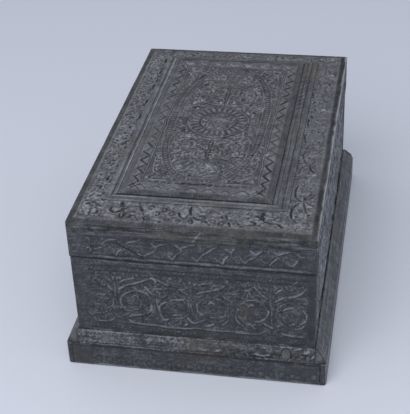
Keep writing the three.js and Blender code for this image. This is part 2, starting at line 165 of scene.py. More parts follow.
# %% [markdown]
# ## Uneven wood
# Nothing that was planed and carved by hand is quite flat. Smooth noise on a lattice, with its lumps
# sized in millimetres, later makes the waves of the plane, the chipped edges, the worn places and the
# wandering lines. It is seeded, so the box comes out the same each time.

# %% Lattice noise
HASH = (73856093, 19349663, 83492791)
TABLE_SIZE = 8192


def lattice_noise(points, lump_mm, seed):
    """Smooth noise from -1 to 1 at points in mm, with lumps of that size in each direction."""
    cells = np.asarray(points, float) / lump_mm
    base = np.floor(cells).astype(np.int64)
    blend = cells - base
    blend = blend * blend * (3 - 2 * blend)
    table = np.random.default_rng(seed).uniform(-1, 1, TABLE_SIZE)
    total = np.zeros(cells.shape[:-1])
    for corner in np.ndindex(2, 2, 2):
        x, y, z = np.moveaxis(base + corner, -1, 0)
        weight = np.prod(np.where(corner, blend, 1 - blend), axis=-1)
        total += table[((x * HASH[0]) ^ (y * HASH[1]) ^ (z * HASH[2])) % TABLE_SIZE] * weight
    return total


def streaks(along, across, length_mm, width_mm, seed):
    """Lattice noise that is drawn out along one direction."""
    return lattice_noise(np.stack([along / length_mm, across / width_mm, 0 * along], axis=-1), 1, seed)


print("noise at three points:", lattice_noise(np.diag((3.5, 7.5, 9.5)), 2, 1).round(2))


# %% [markdown]
# ## Where each face of the box lies
# Every carving is drawn on a flat sheet: u runs to the right and v upwards, as one sees the face from
# outside, and w points out of the wood. The CAD node's own box then says where that sheet lies, so a
# carved board always lands on its board of the frame.

# %% Face frames
SIDES = {
    "front": ((1, 0, 0), (0, 0, 1)),
    "right": ((0, 1, 0), (0, 0, 1)),
    "back": ((-1, 0, 0), (0, 0, 1)),
    "left": ((0, -1, 0), (0, 0, 1)),
    "top": ((1, 0, 0), (0, 1, 0)),
}


def node_box(node):
    """The low and the high corner of a node's box, in mm."""
    return [np.array(corner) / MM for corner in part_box(node)]


def face_frame(node, side):
    """(corner, axes, spans) in mm of a node's face: the corner at u = v = 0 outside, and rows u, v, w."""
    low, high = node_box(node)
    axes = np.array([*SIDES[side], np.cross(*SIDES[side])], float)
    spans = np.abs(axes @ (high - low))
    corner = (low + high) / 2 - (axes[0] * spans[0] + axes[1] * spans[1] - axes[2] * spans[2]) / 2
    return corner, axes, spans


def place_on(points, corner, axes):
    """Points of a sheet (u, v, w in mm) as places in the frame, in metres."""
    return (np.asarray(points) @ axes + corner) * MM


print("front wall (mm):", [round(float(s), 1) for s in face_frame("front_wall", "front")[2]])

# %% [markdown]
# ## A sheet to carve on
# Real relief could be cut with booleans, but hundreds of small cuts in a thin board would take long and
# leave ragged faces. A sheet of heights does what the carver does: the ground is sunk, ribs and leaves
# are left standing, and gouge cuts are taken out. Each tool works on the distance to a line, so its
# section is clean at any size, and the lines wander a little, because nobody drew them with a ruler. A
# second and a third layer hold what a century of use did: pale rubbed crests and dirty hollows, and
# places where the black stain is gone. The second layer also carries painted highlights and painted
# shadows.

# %% Carving sheet
SWELL = {
    "even": lambda t: np.ones_like(t),
    "leaf": lambda t: np.sin(np.pi * np.clip(t, 0, 1) ** 0.8) ** 0.75,
    "tail": lambda t: 1 - 0.8 * t,
    "bud": lambda t: 0.3 + 0.7 * np.sin(np.pi * np.clip(t, 0, 1) ** 1.8),
    "stroke": lambda t: 0.35 + 0.65 * np.clip(5 * np.minimum(t, 1 - t), 0, 1),
}
CLOSE_LINES_MM, EVEN_FROM_MM = (0.0, 0.16, 0.4, 0.7, 1.0), 1.4
WANDER_MM, WANDER_LUMP_MM = 0.5, 6.5
TOUCH_LUMP_MM = 3.0
PLACE_LUMP_MM = 10
MARK_LUMP_MM = 1.3
MAX_CUT_MM = 1.3


def sheet_lines(length, step):
    """Grid lines over a length: close at both edges, where the arris is round, and even between."""
    close = np.array(CLOSE_LINES_MM)
    count = max(2, round((length - 2 * EVEN_FROM_MM) / step) + 1)
    even = np.linspace(EVEN_FROM_MM, length - EVEN_FROM_MM, count)
    return np.concatenate([close, even, length - close[::-1]])


class Sheet:
    """Heights in mm under a board's face, its wear and painted light, at the crossings of its grid lines."""

    def __init__(self, spans, step, hidden_below=0.0, wander=WANDER_MM):
        self.u, self.v = sheet_lines(spans[0], step), sheet_lines(spans[1], step)
        self.v = self.v[(self.v == 0) | (self.v >= hidden_below)]
        shape = (len(self.u), len(self.v))
        self.flat = np.stack([*np.meshgrid(self.u, self.v, indexing="ij"), np.zeros(shape)], axis=-1)
        drift = [lattice_noise(self.flat, WANDER_LUMP_MM, seed) for seed in (101, 102)]
        self.drawn = self.flat[..., :2] + wander * np.stack(drift, axis=-1)
        self.touched = np.clip(0.6 + 0.8 * lattice_noise(self.flat, TOUCH_LUMP_MM, 103), 0.05, 1.2)
        self.height, self.tone, self.bare = np.zeros(shape), np.zeros(shape), np.zeros(shape)
        self.ground = 0.0

    def all_along(self, v):
        """A straight line at a height v, a little longer than the sheet."""
        return [(-5, v), (self.u[-1] + 5, v)]

    def window(self, low, high):
        """The rows and columns of the crossings that lie in a rectangle."""
        rows = slice(*np.searchsorted(self.u, (low[0], high[0])))
        columns = slice(*np.searchsorted(self.v, (low[1], high[1])))
        return rows, columns

    def inset(self):
        """How far each crossing lies from the nearest edge of the sheet."""
        across, along = (np.minimum(lines, lines[-1] - lines) for lines in (self.u, self.v))
        return np.minimum(across[:, None], along[None, :])

    def share(self, low, high, soft):
        """1 inside a rectangle, 0 outside, with soft edges of that width (u, v)."""
        inset_u = (np.minimum(self.drawn[..., 0] - low[0], high[0] - self.drawn[..., 0])) / soft[0]
        inset_v = (np.minimum(self.drawn[..., 1] - low[1], high[1] - self.drawn[..., 1])) / soft[1]
        return np.clip(np.minimum(inset_u, inset_v) + 0.5, 0, 1)

    def sink(self, low, high, depth, soft=(0.5, 0.5)):
        """Lower a rectangle to a ground, with walls that slope over a short way."""
        self.height = np.minimum(self.height, -depth * self.share(low, high, soft))
        self.ground = -depth

    def band(self, low, high, amount, soft=(1.0, 1.0), layer="tone"):
        """Rub a rectangle pale (above 0) or leave it dirty (below 0)."""
        getattr(self, layer)[:] += amount * self.share(low, high, soft)

    def near(self, points, reach):
        """Where the line is near, the distance to it and how far along it (0 to 1) each crossing lies."""
        points = np.asarray(points, float)
        spot = self.window(points.min(axis=0) - reach - WANDER_MM, points.max(axis=0) + reach + WANDER_MM)
        drawn = self.drawn[spot]
        distance = np.full(drawn.shape[:2], np.inf)
        along = np.zeros_like(distance)
        for k, (a, b) in enumerate(zip(points[:-1], points[1:])):
            run = b - a
            t = np.clip((drawn - a) @ run / max(run @ run, 1e-9), 0, 1)
            d = np.hypot(drawn[..., 0] - a[0] - t * run[0], drawn[..., 1] - a[1] - t * run[1])
            closer = d < distance
            distance = np.where(closer, d, distance)
            along = np.where(closer, (k + t) / (len(points) - 1), along)
        return spot, distance, along

    def rib(self, points, half_width, top, swell="even", shine=0.0):
        """Leave a rib standing on the ground along a line; shine is how pale its crest is painted, as wear
        and as a painted highlight.
        """
        spot, distance, along = self.near(points, half_width)
        reach = np.maximum(half_width * SWELL[swell](along), 1e-6)
        rise = np.clip(1 - (distance / reach) ** 1.7, 0, 1)
        stands = np.where(rise > 0, self.ground + (top - self.ground) * rise, -9)
        self.height[spot] = np.maximum(self.height[spot], stands)
        self.tone[spot] += shine * rise ** 2 * self.touched[spot]

    def cut(self, points, half_width, depth, swell="even", dirt=0.0):
        """Take a V-shaped gouge cut out of what stands there; dirt is how dark it has become."""
        spot, distance, along = self.near(points, half_width)
        reach = np.maximum(half_width * SWELL[swell](along), 1e-6)
        share = np.clip(1 - distance / reach, 0, 1)
        self.height[spot] = np.maximum(self.height[spot] - depth * share, -MAX_CUT_MM)
        self.tone[spot] -= dirt * share

    def paint(self, points, half_width, amount, layer="tone"):
        """Paint a line pale (above 0) or dark (below 0), soft-edged, without cutting: wear, dirt, painted
        light.
        """
        spot, distance, _ = self.near(points, half_width)
        getattr(self, layer)[spot] += amount * np.clip(1.3 * (1 - distance / half_width), 0, 1)

    def boss(self, centre, radius, top, shine=0.0):
        self.rib([centre, np.add(centre, (0.01, 0))], radius, top, shine=shine)

    def leaf(self, start, end, half_width, top, bend=0.0, vein=0.25, shine=0.0):
        """A leaf from start to end, bent sideways by a share of its length, with a vein down its middle."""
        line = bow(start, end, bend)
        self.rib(line, half_width, top, "leaf", shine)
        if vein:
            self.cut(line, 0.5, vein, "leaf")

    def flower(self, centre, radius, petals, top, turn=0.0, shine=0.0):
        for k in range(petals):
            angle = turn + 2 * math.pi * k / petals
            way = np.array([math.cos(angle), math.sin(angle)])
            petal_width = 0.94 * radius * math.sin(math.pi / petals)
            self.leaf(centre + 0.28 * radius * way, centre + radius * way, petal_width, top, shine=shine)
        self.boss(centre, 0.25 * radius, top, shine)
        self.cut(ring(centre, 0.3 * radius), 0.35, 0.25)

    def strew(self, low, high, count, seed, length, half_width, top=0.0, depth=None, clear=0.9, strength=0.0):
        """Small leaves or cuts in the places that are still bare, as a carver fills a ground."""
        dice = np.random.default_rng(seed)
        for _ in range(count):
            centre, turn, size = dice.uniform(low, high), dice.uniform(0, 2 * math.pi), dice.uniform(0.6, 1.2)
            way = np.array([math.cos(turn), math.sin(turn)]) * length * size / 2
            patch = self.height[self.window(centre - clear, centre + clear)]
            if patch.size == 0 or np.ptp(patch) > 0.06 or abs(patch.mean() - self.ground) > 0.06:
                continue
            line = bow(centre - way, centre + way, dice.uniform(-0.35, 0.35))
            if depth is None:
                self.rib(line, half_width * size, top, "leaf", strength)
            else:
                self.cut(line, half_width * size, depth, "leaf", strength)

    def age(self, seed, worn=0.5, rough=0.1):
        """Rub some places flat again, and leave the small marks of the gouge in the sunk ground."""
        share = worn * np.clip(0.5 + 0.9 * lattice_noise(self.flat, PLACE_LUMP_MM, seed), 0, 1)
        self.height += share * (soften(self.height, 3) - self.height)
        self.tone *= 1 - 0.6 * share
        sunk = np.clip(-self.height / 0.3, 0, 1)
        self.height += rough * sunk * (lattice_noise(self.flat, MARK_LUMP_MM, seed + 1) - 0.5)


def smooth(points):
    """A line with its corners cut, and the new corners cut again, so that it looks drawn in one move."""
    points = np.asarray(points, float)
    for _ in range(2):
        a, b = points[:-1], points[1:]
        inner = np.stack([0.75 * a + 0.25 * b, 0.25 * a + 0.75 * b], axis=1).reshape(-1, 2)
        points = np.concatenate([points[:1], inner, points[-1:]])
    return points


def bow(start, end, bend, count=9):
    """A line from start to end that bends sideways by a share of its length."""
    start, end = np.array(start, float), np.array(end, float)
    run = end - start
    side = np.array([-run[1], run[0]]) * bend
    t = np.linspace(0, 1, count)[:, None]
    return start + run * t + side * np.sin(np.pi * t)


def curve(a, b, c, d, count=16):
    """A Bezier curve with its four points."""
    t = np.linspace(0, 1, count)[:, None]
    a, b, c, d = (np.array(p, float) for p in (a, b, c, d))
    return (1 - t) ** 3 * a + 3 * t * (1 - t) ** 2 * b + 3 * t * t * (1 - t) * c + t ** 3 * d


def ring(centre, radius, start=0.0, turn=360.0, end_radius=None, count=36):
    """A circle, an arc, or a spiral where the end radius differs; angles in degrees."""
    angle = np.radians(start + np.linspace(0, turn, count))
    reach = np.linspace(radius, radius if end_radius is None else end_radius, count)
    return np.array(centre, float) + np.stack([np.cos(angle), np.sin(angle)], axis=1) * reach[:, None]


# %% [markdown]
# ## From sheet to board
# Each carved board becomes one closed skin: the fine carved face, the four edges in rings that follow it,
# and a plain, even back. Its arrises are rounded by years of handling, so every point is first drawn onto
# a box with round edges and only then pushed in by the carving and the wear. The attribute "rubbed" tells
# the material which crests were rubbed pale and which hollows kept their dirt, and it also carries the
# painted highlights and painted shade; "bare" says where the stain has gone.

# %% Skins
RING_DEPTHS = (0.25, 0.6, 1.1, 1.7)
BACK_INSET_MM, BACK_CLEAR_MM = 1.5, 0.3


def closed_mesh(name, points, quads, fans, wear):
    """A smooth mesh with its faces outwards, with the attributes that the wood materials read."""
    used, renumber = np.unique(np.concatenate([quads.ravel(), fans.ravel()]), return_inverse=True)
    quads, fans = renumber[:quads.size].reshape(-1, 4), renumber[quads.size:].reshape(-1, 3)
    mesh = bpy.data.meshes.new(name)
    mesh.from_pydata(points[used].tolist(), [], quads.tolist() + fans.tolist())
    for layer, values in wear.items():
        attribute = mesh.attributes.new(layer, "FLOAT", "POINT")
        attribute.data.foreach_set("value", values[used].astype(np.float32))
    mesh.shade_smooth()
    return mesh


def outline(index):
    """The numbers round the edge of a grid of numbers, counter-clockwise."""
    return np.concatenate([index[:-1, 0], index[-1, :-1], index[:0:-1, -1], index[0, :0:-1]])


def fan(middle, loop):
    """Triangles from a middle point to each step of a loop."""
    return np.stack([np.full(len(loop), middle), loop, np.roll(loop, -1)], axis=1)


def grid_quads(index):
    return np.stack([index[:-1, :-1], index[1:, :-1], index[1:, 1:], index[:-1, 1:]], axis=-1)


def hidden_cells(sheet, hidden, more=0):
    """The rows and columns of a sheet that lie between the two corners of its hidden part."""
    ends = np.transpose(hidden)
    rows, columns = np.searchsorted(sheet.u, ends[0]), np.searchsorted(sheet.v, ends[1])
    return slice(rows[0], rows[1] + more), slice(columns[0], columns[1] + more)


def board_skin(sheet, spans, edge_drop, edge_step, hidden, seen_behind):
    """Points, quads and fans of a closed board, and how many of its last points lie on its plain back."""
    flat = sheet.flat.reshape(-1, 3)
    index = np.arange(len(flat)).reshape(sheet.height.shape)
    loop = outline(index)
    depths = np.append(RING_DEPTHS, np.arange(RING_DEPTHS[-1] + edge_step, spans[2], edge_step)) + edge_drop
    depths = [*depths[depths < spans[2] - BACK_CLEAR_MM], spans[2]]
    rings = [flat[loop] - (0, 0, depth) for depth in depths]
    middles = [np.array([*(spans[:2] / 2), -spans[2]])]
    if seen_behind:
        inward = (*(1 - 2 * BACK_INSET_MM / spans[:2]), 1)
        rings.append(middles[0] + (rings[-1] - middles[0]) * inward)
    points = np.concatenate([flat, *rings])
    loops = [loop, *(len(flat) + len(loop) * np.arange(len(rings))[:, None] + np.arange(len(loop)))]
    keep = np.ones(np.subtract(index.shape, 1), bool)
    fans = [fan(len(points), loops[-1][::-1])]
    if hidden:
        keep[hidden_cells(sheet, hidden)] = False
        fans.append(fan(len(points) + 1, outline(index[hidden_cells(sheet, hidden, 1)])))
        middles.append([*np.mean(hidden, axis=0), 0.0])
    quads = [grid_quads(index)[keep]]
    for a, b in zip(loops[:-1], loops[1:]):
        quads.append(np.stack([a, b, np.roll(b, -1), np.roll(a, -1)], axis=1))
    plain = len(middles) + seen_behind * len(loop)
    return np.concatenate([points, middles]), np.concatenate(quads), np.concatenate(fans), plain


# %% [markdown]
# The skin is then weathered. The plane left long waves, the edges show the lines of the grain, and the
# arrises lost small chips and got pale, as wear and as a painted highlight on the rounded edge. What the
# carving does to the colour is worked out from its heights: a point that stands above its surroundings was
# rubbed, and one that lies below them is darker, partly kept dirt and partly painted shade at the feet of
# the ribs. On an upright board, slopes that face upwards are also painted paler and their undersides
# darker, as dust and as painted shade from overhead light.

# %% Weathered boards
NEAR_PASSES, WIDE_PASSES = 4, 30
WAVE_LUMP_MM, FUZZ_LUMP_MM, FUZZ_MM = 14, 1.6, 0.05
CHIP_LUMP_MM, SPLINTER_LUMP_MM, CHIP_LEVEL = 5, 1.7, 0.25
EDGE_LINE_MM, EDGE_LINE_LENGTH_MM = 0.9, 22
ARRIS_LUMP_MM, MOST_ARRIS = 9, 0.3
MOST_DUST_AND_SHADE = 0.8


def soften(field, passes):
    """Blur a grid by running one-two-one weights over it in both directions."""
    for _ in range(passes):
        wide = np.pad(field, 1, mode="edge")
        field = (wide[:-2, 1:-1] + 2 * wide[1:-1, 1:-1] + wide[2:, 1:-1]) / 4
        wide = np.pad(field, 1, mode="edge")
        field = (wide[1:-1, :-2] + 2 * wide[1:-1, 1:-1] + wide[1:-1, 2:]) / 4
    return field


def crest_and_hollow(height, near_gain, wide_gain):
    """Above 0 on crests, below 0 in hollows: each height against the average round it, near and wide."""
    near, wide = (height - soften(height, passes) for passes in (NEAR_PASSES, WIDE_PASSES))
    return near_gain * near + wide_gain * wide


def onto_round_box(points, spans, radius):
    """Points of a box drawn onto the same box with round arrises, and the way out of the wood there."""
    core = np.clip(points, (radius, radius, -spans[2]), (spans[0] - radius, spans[1] - radius, -radius))
    away = points - core
    out = away / np.maximum(np.linalg.norm(away, axis=-1, keepdims=True), 1e-9)
    return core + out * radius, out


def board(name, node, side, sheet, radius=0.8, edge_drop=0.0, wave=0.12, chips=0.5, edge_lines=0.12,
          edge_step=1.2, seed=1, hidden=None, gains=(2.2, 0.5), edge_wear=None, arris_shine=2.2, dusty=0.0,
          seen_behind=True):
    """One carved board as a closed mesh in the frame.

    edge_drop is how far the face is already lowered along its edges, hidden a (low, high) part of the face
    that another piece covers, which needs no detail, gains how strongly crests and hollows show, near and
    wide, edge_wear a function that adds tone and bareness (wear, and on the lid painted highlights) at points
    (u, v, w) of the edges, dusty how much paler slopes that face upwards on an upright board are painted
    and how much darker their undersides, as dust and as painted shade from overhead light, and
    seen_behind whether the plain back can be seen, so that it needs a ring of points along its edges.
    """
    corner, axes, spans = face_frame(node, side)
    points, quads, fans, plain = board_skin(sheet, spans, edge_drop, edge_step, hidden, seen_behind)
    face = sheet.height.size
    rounded, out = onto_round_box(points, spans, radius)
    arris = 1 - np.abs(out).max(axis=1)
    on_edge = np.abs(out[:, 2]) < 0.3
    seen = place_on(rounded, corner, axes) / MM
    lines = lattice_noise(points / (EDGE_LINE_LENGTH_MM, EDGE_LINE_LENGTH_MM, EDGE_LINE_MM), 1, seed + 4)
    depth = wave * (1 + lattice_noise(seen, WAVE_LUMP_MM, seed)) / 2
    depth += FUZZ_MM * (1 + lattice_noise(seen, FUZZ_LUMP_MM, seed + 1))
    chipped = lattice_noise(seen, CHIP_LUMP_MM, seed + 2)
    chipped += 0.5 * lattice_noise(seen, SPLINTER_LUMP_MM, seed + 3)
    depth += chips * 3 * np.clip(arris, 0, MOST_ARRIS) * np.clip(chipped - CHIP_LEVEL, 0, 1)
    depth += np.where(on_edge, edge_lines * (1 + lines), 0)
    rounded -= out * depth[:, None]
    rounded[:face, 2] += sheet.height.ravel()
    tone, bare = np.zeros(len(points)), np.zeros(len(points))
    # Painted shading on upright boards: up-facing slopes paler, undersides darker, as dust and overhead
    # shade.
    dust = np.clip(dusty * np.gradient(soften(sheet.height, 1), sheet.v, axis=1), -MOST_DUST_AND_SHADE, MOST_DUST_AND_SHADE)
    # Crests paler and hollows darker: wear and dirt, and painted shade at the feet of the ribs.
    tone[:face] = (crest_and_hollow(sheet.height, *gains) + sheet.tone - dust).ravel()
    bare[:face] = sheet.bare.ravel()
    # Arrises painted pale: wear, and a painted highlight on the rounded edge.
    tone += arris_shine * arris * (1 + 0.8 * lattice_noise(seen, ARRIS_LUMP_MM, seed + 5))
    tone += np.where(on_edge, 0.3 * lines, 0)
    if edge_wear:
        more_tone, more_bare = edge_wear(points, np.arange(len(points)) >= face)
        tone += more_tone
        bare += more_bare
    tone[-plain:], bare[-plain:] = 0, 0
    return closed_mesh(name, place_on(rounded, corner, axes), quads, fans, {"rubbed": tone, "bare": bare})


def places_of(mesh):
    place = np.empty(len(mesh.vertices) * 3)
    mesh.vertices.foreach_get("co", place)
    return place.reshape(-1, 3)


def wear_corners(mesh, reach, radius):
    """Wear the upright corners of the box round: reach is how far out its sides stand in X and Y, in mm."""
    place = places_of(mesh)
    core = (np.array(reach) - radius) * MM
    away = np.maximum(np.abs(place[:, :2]) - core, 0)
    length = np.linalg.norm(away, axis=1)
    worn = (away.min(axis=1) > 0) & (length > radius * MM)
    inward = core + away * (radius * MM / np.maximum(length, 1e-9))[:, None]
    place[worn, :2] = (np.sign(place[:, :2]) * inward)[worn]
    mesh.vertices.foreach_set("co", place.ravel())


def finish_piece(mesh, material, body, nodes=()):
    """Put a finished mesh into the scene on its body, in place of the CAD nodes that it stands for."""
    mesh.materials.clear()
    mesh.materials.append(material)
    piece = bpy.data.objects.new(mesh.name, mesh)
    bpy.context.collection.objects.link(piece)
    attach(piece, body)
    if nodes:
        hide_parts(*nodes)
    print(f"{mesh.name}: {sum(len(p.vertices) - 2 for p in mesh.polygons)} triangles")


print("rings of points below a carved face (mm):", RING_DEPTHS)

# %% [markdown]
# ## Moulded strips
# Mouldings and fillets are one section drawn along a length, and at a mitre the length depends on how far
# out a point of the section lies. A strip is built the same way: the outer run of the section gets fine
# points, its corners are softened a little, and a sheet of its own can carry nicks, rings and scuffs.

# %% Strips
STRIP_STEP_MM = 0.5
STRIP_WAVE_LUMP_MM, SCUFF_LUMP_MM = 16, 2.2
STRIP_LINE_MM, STRIP_LINE_LENGTH_MM, STRIP_LINE_DEPTH_MM = 0.8, 24, 0.06


def resampled(points, spots):
    """Points of a polyline at these distances along it, and the whole length where spots is None."""
    points = np.asarray(points, float)
    arc = np.concatenate([[0], np.cumsum(np.linalg.norm(np.diff(points, axis=0), axis=1))])
    if spots is None:
        return arc[-1]
    return np.stack([np.interp(spots, arc, points[:, k]) for k in range(2)], axis=1)


def strip(name, run, back, ends, corner, axes, length, carve, wave, softened=3, scuffs=0.12, seed=1):
    """A strip with the section run + back (out, up in mm) between ends(out, up) along its length."""
    sheet = Sheet((length, resampled(run, None)), STRIP_STEP_MM, wander=0.15)
    carve(sheet)
    sharp = resampled(run, sheet.v)
    section = sharp.copy()
    for _ in range(softened):
        section[1:-1] = (section[:-2] + 2 * section[1:-1] + section[2:]) / 4
    way = np.gradient(section, axis=0)
    normal = np.stack([way[:, 1], -way[:, 0]], axis=1) / np.linalg.norm(way, axis=1, keepdims=True)
    arris = np.linalg.norm(sharp - section, axis=1)
    section = np.concatenate([section, back])
    normal = np.concatenate([normal, np.zeros((len(back), 2))])
    nu, nv, rows = len(sheet.u), len(sheet.v), len(section)
    start, finish = ends(section[:, 0], section[:, 1])
    along = start + np.outer(sheet.u / length, finish - start)
    points = np.stack([along, along * 0 + section[:, 0], along * 0 + section[:, 1]], axis=-1)
    seen = place_on(points, corner, axes) / MM
    depth = wave * (1 + lattice_noise(seen, STRIP_WAVE_LUMP_MM, seed)) / 2
    depth += scuffs * np.clip(lattice_noise(seen, SCUFF_LUMP_MM, seed + 1), 0, 1)
    grain = np.where(np.abs(axes[0]) > 0.5, STRIP_LINE_LENGTH_MM, STRIP_LINE_MM)
    lines = lattice_noise(seen / grain, 1, seed + 2)
    depth += STRIP_LINE_DEPTH_MM * (1 + lines)
    depth[:, :nv] -= sheet.height
    depth[:, [0, nv - 1]] = 0
    depth[[0, -1]] = 0
    points[..., 1] -= normal[:, 0] * depth
    points[..., 2] -= normal[:, 1] * depth
    tone, bare = np.zeros((nu, rows)), np.zeros((nu, rows))
    # Crests paler, hollows darker and softened arrises pale: wear and dirt, with painted highlight and shade.
    tone[:, :nv] = crest_and_hollow(sheet.height, 2.2, 0.5) + sheet.tone + 4 * arris + 0.3 * lines[:, :nv]
    bare[:, :nv] = sheet.bare
    index = np.arange(nu * rows).reshape(nu, rows)
    quads = grid_quads(np.concatenate([index, index[:, :1]], axis=1)).reshape(-1, 4)
    middles = [points[0].mean(axis=0), points[-1].mean(axis=0)]
    fans = np.concatenate([fan(nu * rows, index[0]), fan(nu * rows + 1, index[-1][::-1])])
    points = np.concatenate([points.reshape(-1, 3), middles])
    wear = {"rubbed": np.append(tone.ravel(), (0, 0)), "bare": np.append(bare.ravel(), (0, 0))}
    return closed_mesh(name, place_on(points, corner, axes), quads, fans, wear)

# %% [markdown]
# ## Blackened hardwood
# The box is of a close-grained hardwood, stained black, then carved, waxed and handled for a century. The
# eye gets a matt charcoal with a cool bloom on everything that hands and dust cloths reach, almost black
# hollows, a few brown patches where the stain has gone, and fine fibres along each board. Fibres, pores,
# scuffs and patches are noise at real sizes in Object coordinates, and the attributes of the mesh say
# what is crest, hollow and bare wood. The top has faded to grey, and the short ends get a much darker copy
# of the same wood: painted shade, so that they stay nearly black under the window.

# %% Blackened hardwood
FIBRE_MM = 0.9
FIBRE_LENGTH_MM = 26
PORE_MM = 1.1
SCUFF_MM = 7
PATCH_MM = 38
DUST_MM = 1.5
FIBRE_RELIEF_MM = 0.12
NOISE_ROUGHNESS = 0.62
ROUGH_TO_RUBBED = (0.9, 0.6)
WHOLE_TONE = 1.3
MIX_FIRST, MIX_SECOND, MIX_RESULT = 6, 7, 2


def wood_material(name, direction, colours, fibre_share=0.45, pore_share=0.7, scuff_share=0.9):
    """Hardwood with fibres along X, Y or Z. colours: hollow, body, crest, patch and dust, as sRGB hex."""
    hollow, body, crest, patch, dust = map(linear, colours)
    material = bpy.data.materials.new(name)
    material.use_nodes = True
    tree = material.node_tree
    shader = tree.nodes["Principled BSDF"]
    place = add_node(tree, "ShaderNodeTexCoord").outputs["Object"]

    def noise(across_mm, detail, along_mm=None):
        scale = [1 / (MM * (along_mm if along_mm and axis == direction else across_mm)) for axis in "XYZ"]
        spread = add_node(tree, "ShaderNodeMapping", inputs={"Scale": scale}, links={"Vector": place})
        noise_inputs = {"Scale": 1.0, "Detail": detail, "Roughness": NOISE_ROUGHNESS}
        return add_node(tree, "ShaderNodeTexNoise", inputs=noise_inputs,
                        links={"Vector": spread.outputs["Vector"]}).outputs["Fac"]

    def attribute(layer):
        return add_node(tree, "ShaderNodeAttribute", {"attribute_name": layer}).outputs["Fac"]

    def spread_to(source, low, high, to_low=0.0, to_high=1.0):
        return add_node(tree, "ShaderNodeMapRange", links={"Value": source}, inputs={
            "From Min": low, "From Max": high, "To Min": to_low, "To Max": to_high}).outputs["Result"]

    def scaled_sum(source, share, rest):
        return add_node(tree, "ShaderNodeMath", {"operation": "MULTIPLY_ADD"}, {1: share},
                        {0: source, 2: rest}).outputs[0]

    def mixed(share, first, second):
        return add_node(tree, "ShaderNodeMix", {"data_type": "RGBA"}, {MIX_SECOND: second},
                        {0: share, MIX_FIRST: first}).outputs[MIX_RESULT]

    fibres = spread_to(noise(FIBRE_MM, 3.0, FIBRE_LENGTH_MM), 0.3, 0.7, -0.5, 0.5)
    pores = spread_to(noise(PORE_MM, 2.0), 0.3, 0.7, -0.5, 0.5)
    scuffs = spread_to(noise(SCUFF_MM, 5.0), 0.25, 0.75, -0.5, 0.5)
    worn = scaled_sum(fibres, fibre_share, attribute("rubbed"))
    worn = scaled_sum(pores, pore_share, worn)
    worn = scaled_sum(scuffs, scuff_share, worn)
    tone = spread_to(worn, -WHOLE_TONE, WHOLE_TONE)
    ramp = add_node(tree, "ShaderNodeValToRGB", links={"Fac": tone})
    first, last = ramp.color_ramp.elements
    first.color, last.color = hollow, crest
    ramp.color_ramp.elements.new(0.5).color = body
    gone = scaled_sum(spread_to(noise(PATCH_MM, 2.0), 0.58, 0.85, 0.0, 0.6), 1.0, attribute("bare"))
    colour = mixed(spread_to(gone, 0.0, 1.0), ramp.outputs["Color"], patch)
    colour = mixed(spread_to(noise(DUST_MM, 1.0), 0.7, 0.8, 0.0, 0.5), colour, dust)
    tree.links.new(colour, shader.inputs["Base Color"])
    tree.links.new(spread_to(tone, 0.2, 0.8, *ROUGH_TO_RUBBED), shader.inputs["Roughness"])
    bump = add_node(tree, "ShaderNodeBump", inputs={"Strength": 0.5, "Distance": FIBRE_RELIEF_MM * MM},
                    links={"Height": worn})
    tree.links.new(bump.outputs["Normal"], shader.inputs["Normal"])
    return material


TOP_COLOURS = ("#1f2124", "#545559", "#8e9095", "#57524b", "#95989e")
SIDE_COLOURS = ("#1c1f23", "#505257", "#969aa2", "#55514c", "#9a9ea6")
# The short ends take a darker copy of the same wood colours: painted shade.
SHADED_END_COLOURS = ("#111215", "#323439", "#6e7178", "#3d3731", "#787b82")
top_wood = wood_material("blackened hardwood, carved, faded grey by light", "Y", TOP_COLOURS)
side_wood = wood_material("blackened hardwood, carved, dusty", "Y", SIDE_COLOURS)
shaded_end_wood = wood_material("blackened hardwood, carved, darkened as painted shade", "X", SHADED_END_COLOURS)

# %% [markdown]
# ## The other finishes
# The mouldings and the low frame are of the same wood, but planed, so their fibres show more and there
# are few hollows for dirt. The pegs and nail plugs are end grain, which takes less stain and has gone
# grey, all but two at each end that were stained over with the moulding. The bottom board was never
# polished and has stayed brown. The hinges are cast brass that has gone dull brown with a little green in
# it: a metal with a rough oxide skin.

# %% Other finishes
frame_wood = {
    way: wood_material(f"blackened hardwood, planed for the frame, fibres along {way}", way,
                       ("#1f2124", "#525358", "#919398", "#5e553f", "#9fa2a8"), fibre_share=0.7)
    for way in "XY"
}
side_moulded = wood_material("blackened hardwood, planed, dusty", "Y",
                             ("#2a2c30", "#54565b", "#7f8287", "#57534b", "#8b8e94"), fibre_share=0.7,
                             pore_share=0.5)
# The end mouldings get a darker copy of the planed wood: painted shade on the short ends.
shaded_end_moulded = wood_material("blackened hardwood, planed, scuffed", "X",
                            ("#151619", "#35373c", "#6e7176", "#463f37", "#7b7e83"), fibre_share=0.7,
                            pore_share=1.1)
pale_peg = wood_material("end grain of hardwood pegs, cut flush", "Y",
                         ("#252726", "#4d504f", "#7b7e7d", "#55544c", "#8b8f91"), scuff_share=1.4)
stained_peg = wood_material("end grain of hardwood pegs, stained over", "Y",
                            ("#17191b", "#404347", "#7a7d81", "#48443e", "#83868a"))
inside_wood = wood_material("hardwood, sawn and oiled, inside", "Y",
                            ("#1f1b17", "#3d3832", "#575149", "#463c30", "#5c574f"))


TARNISH_MM = 3


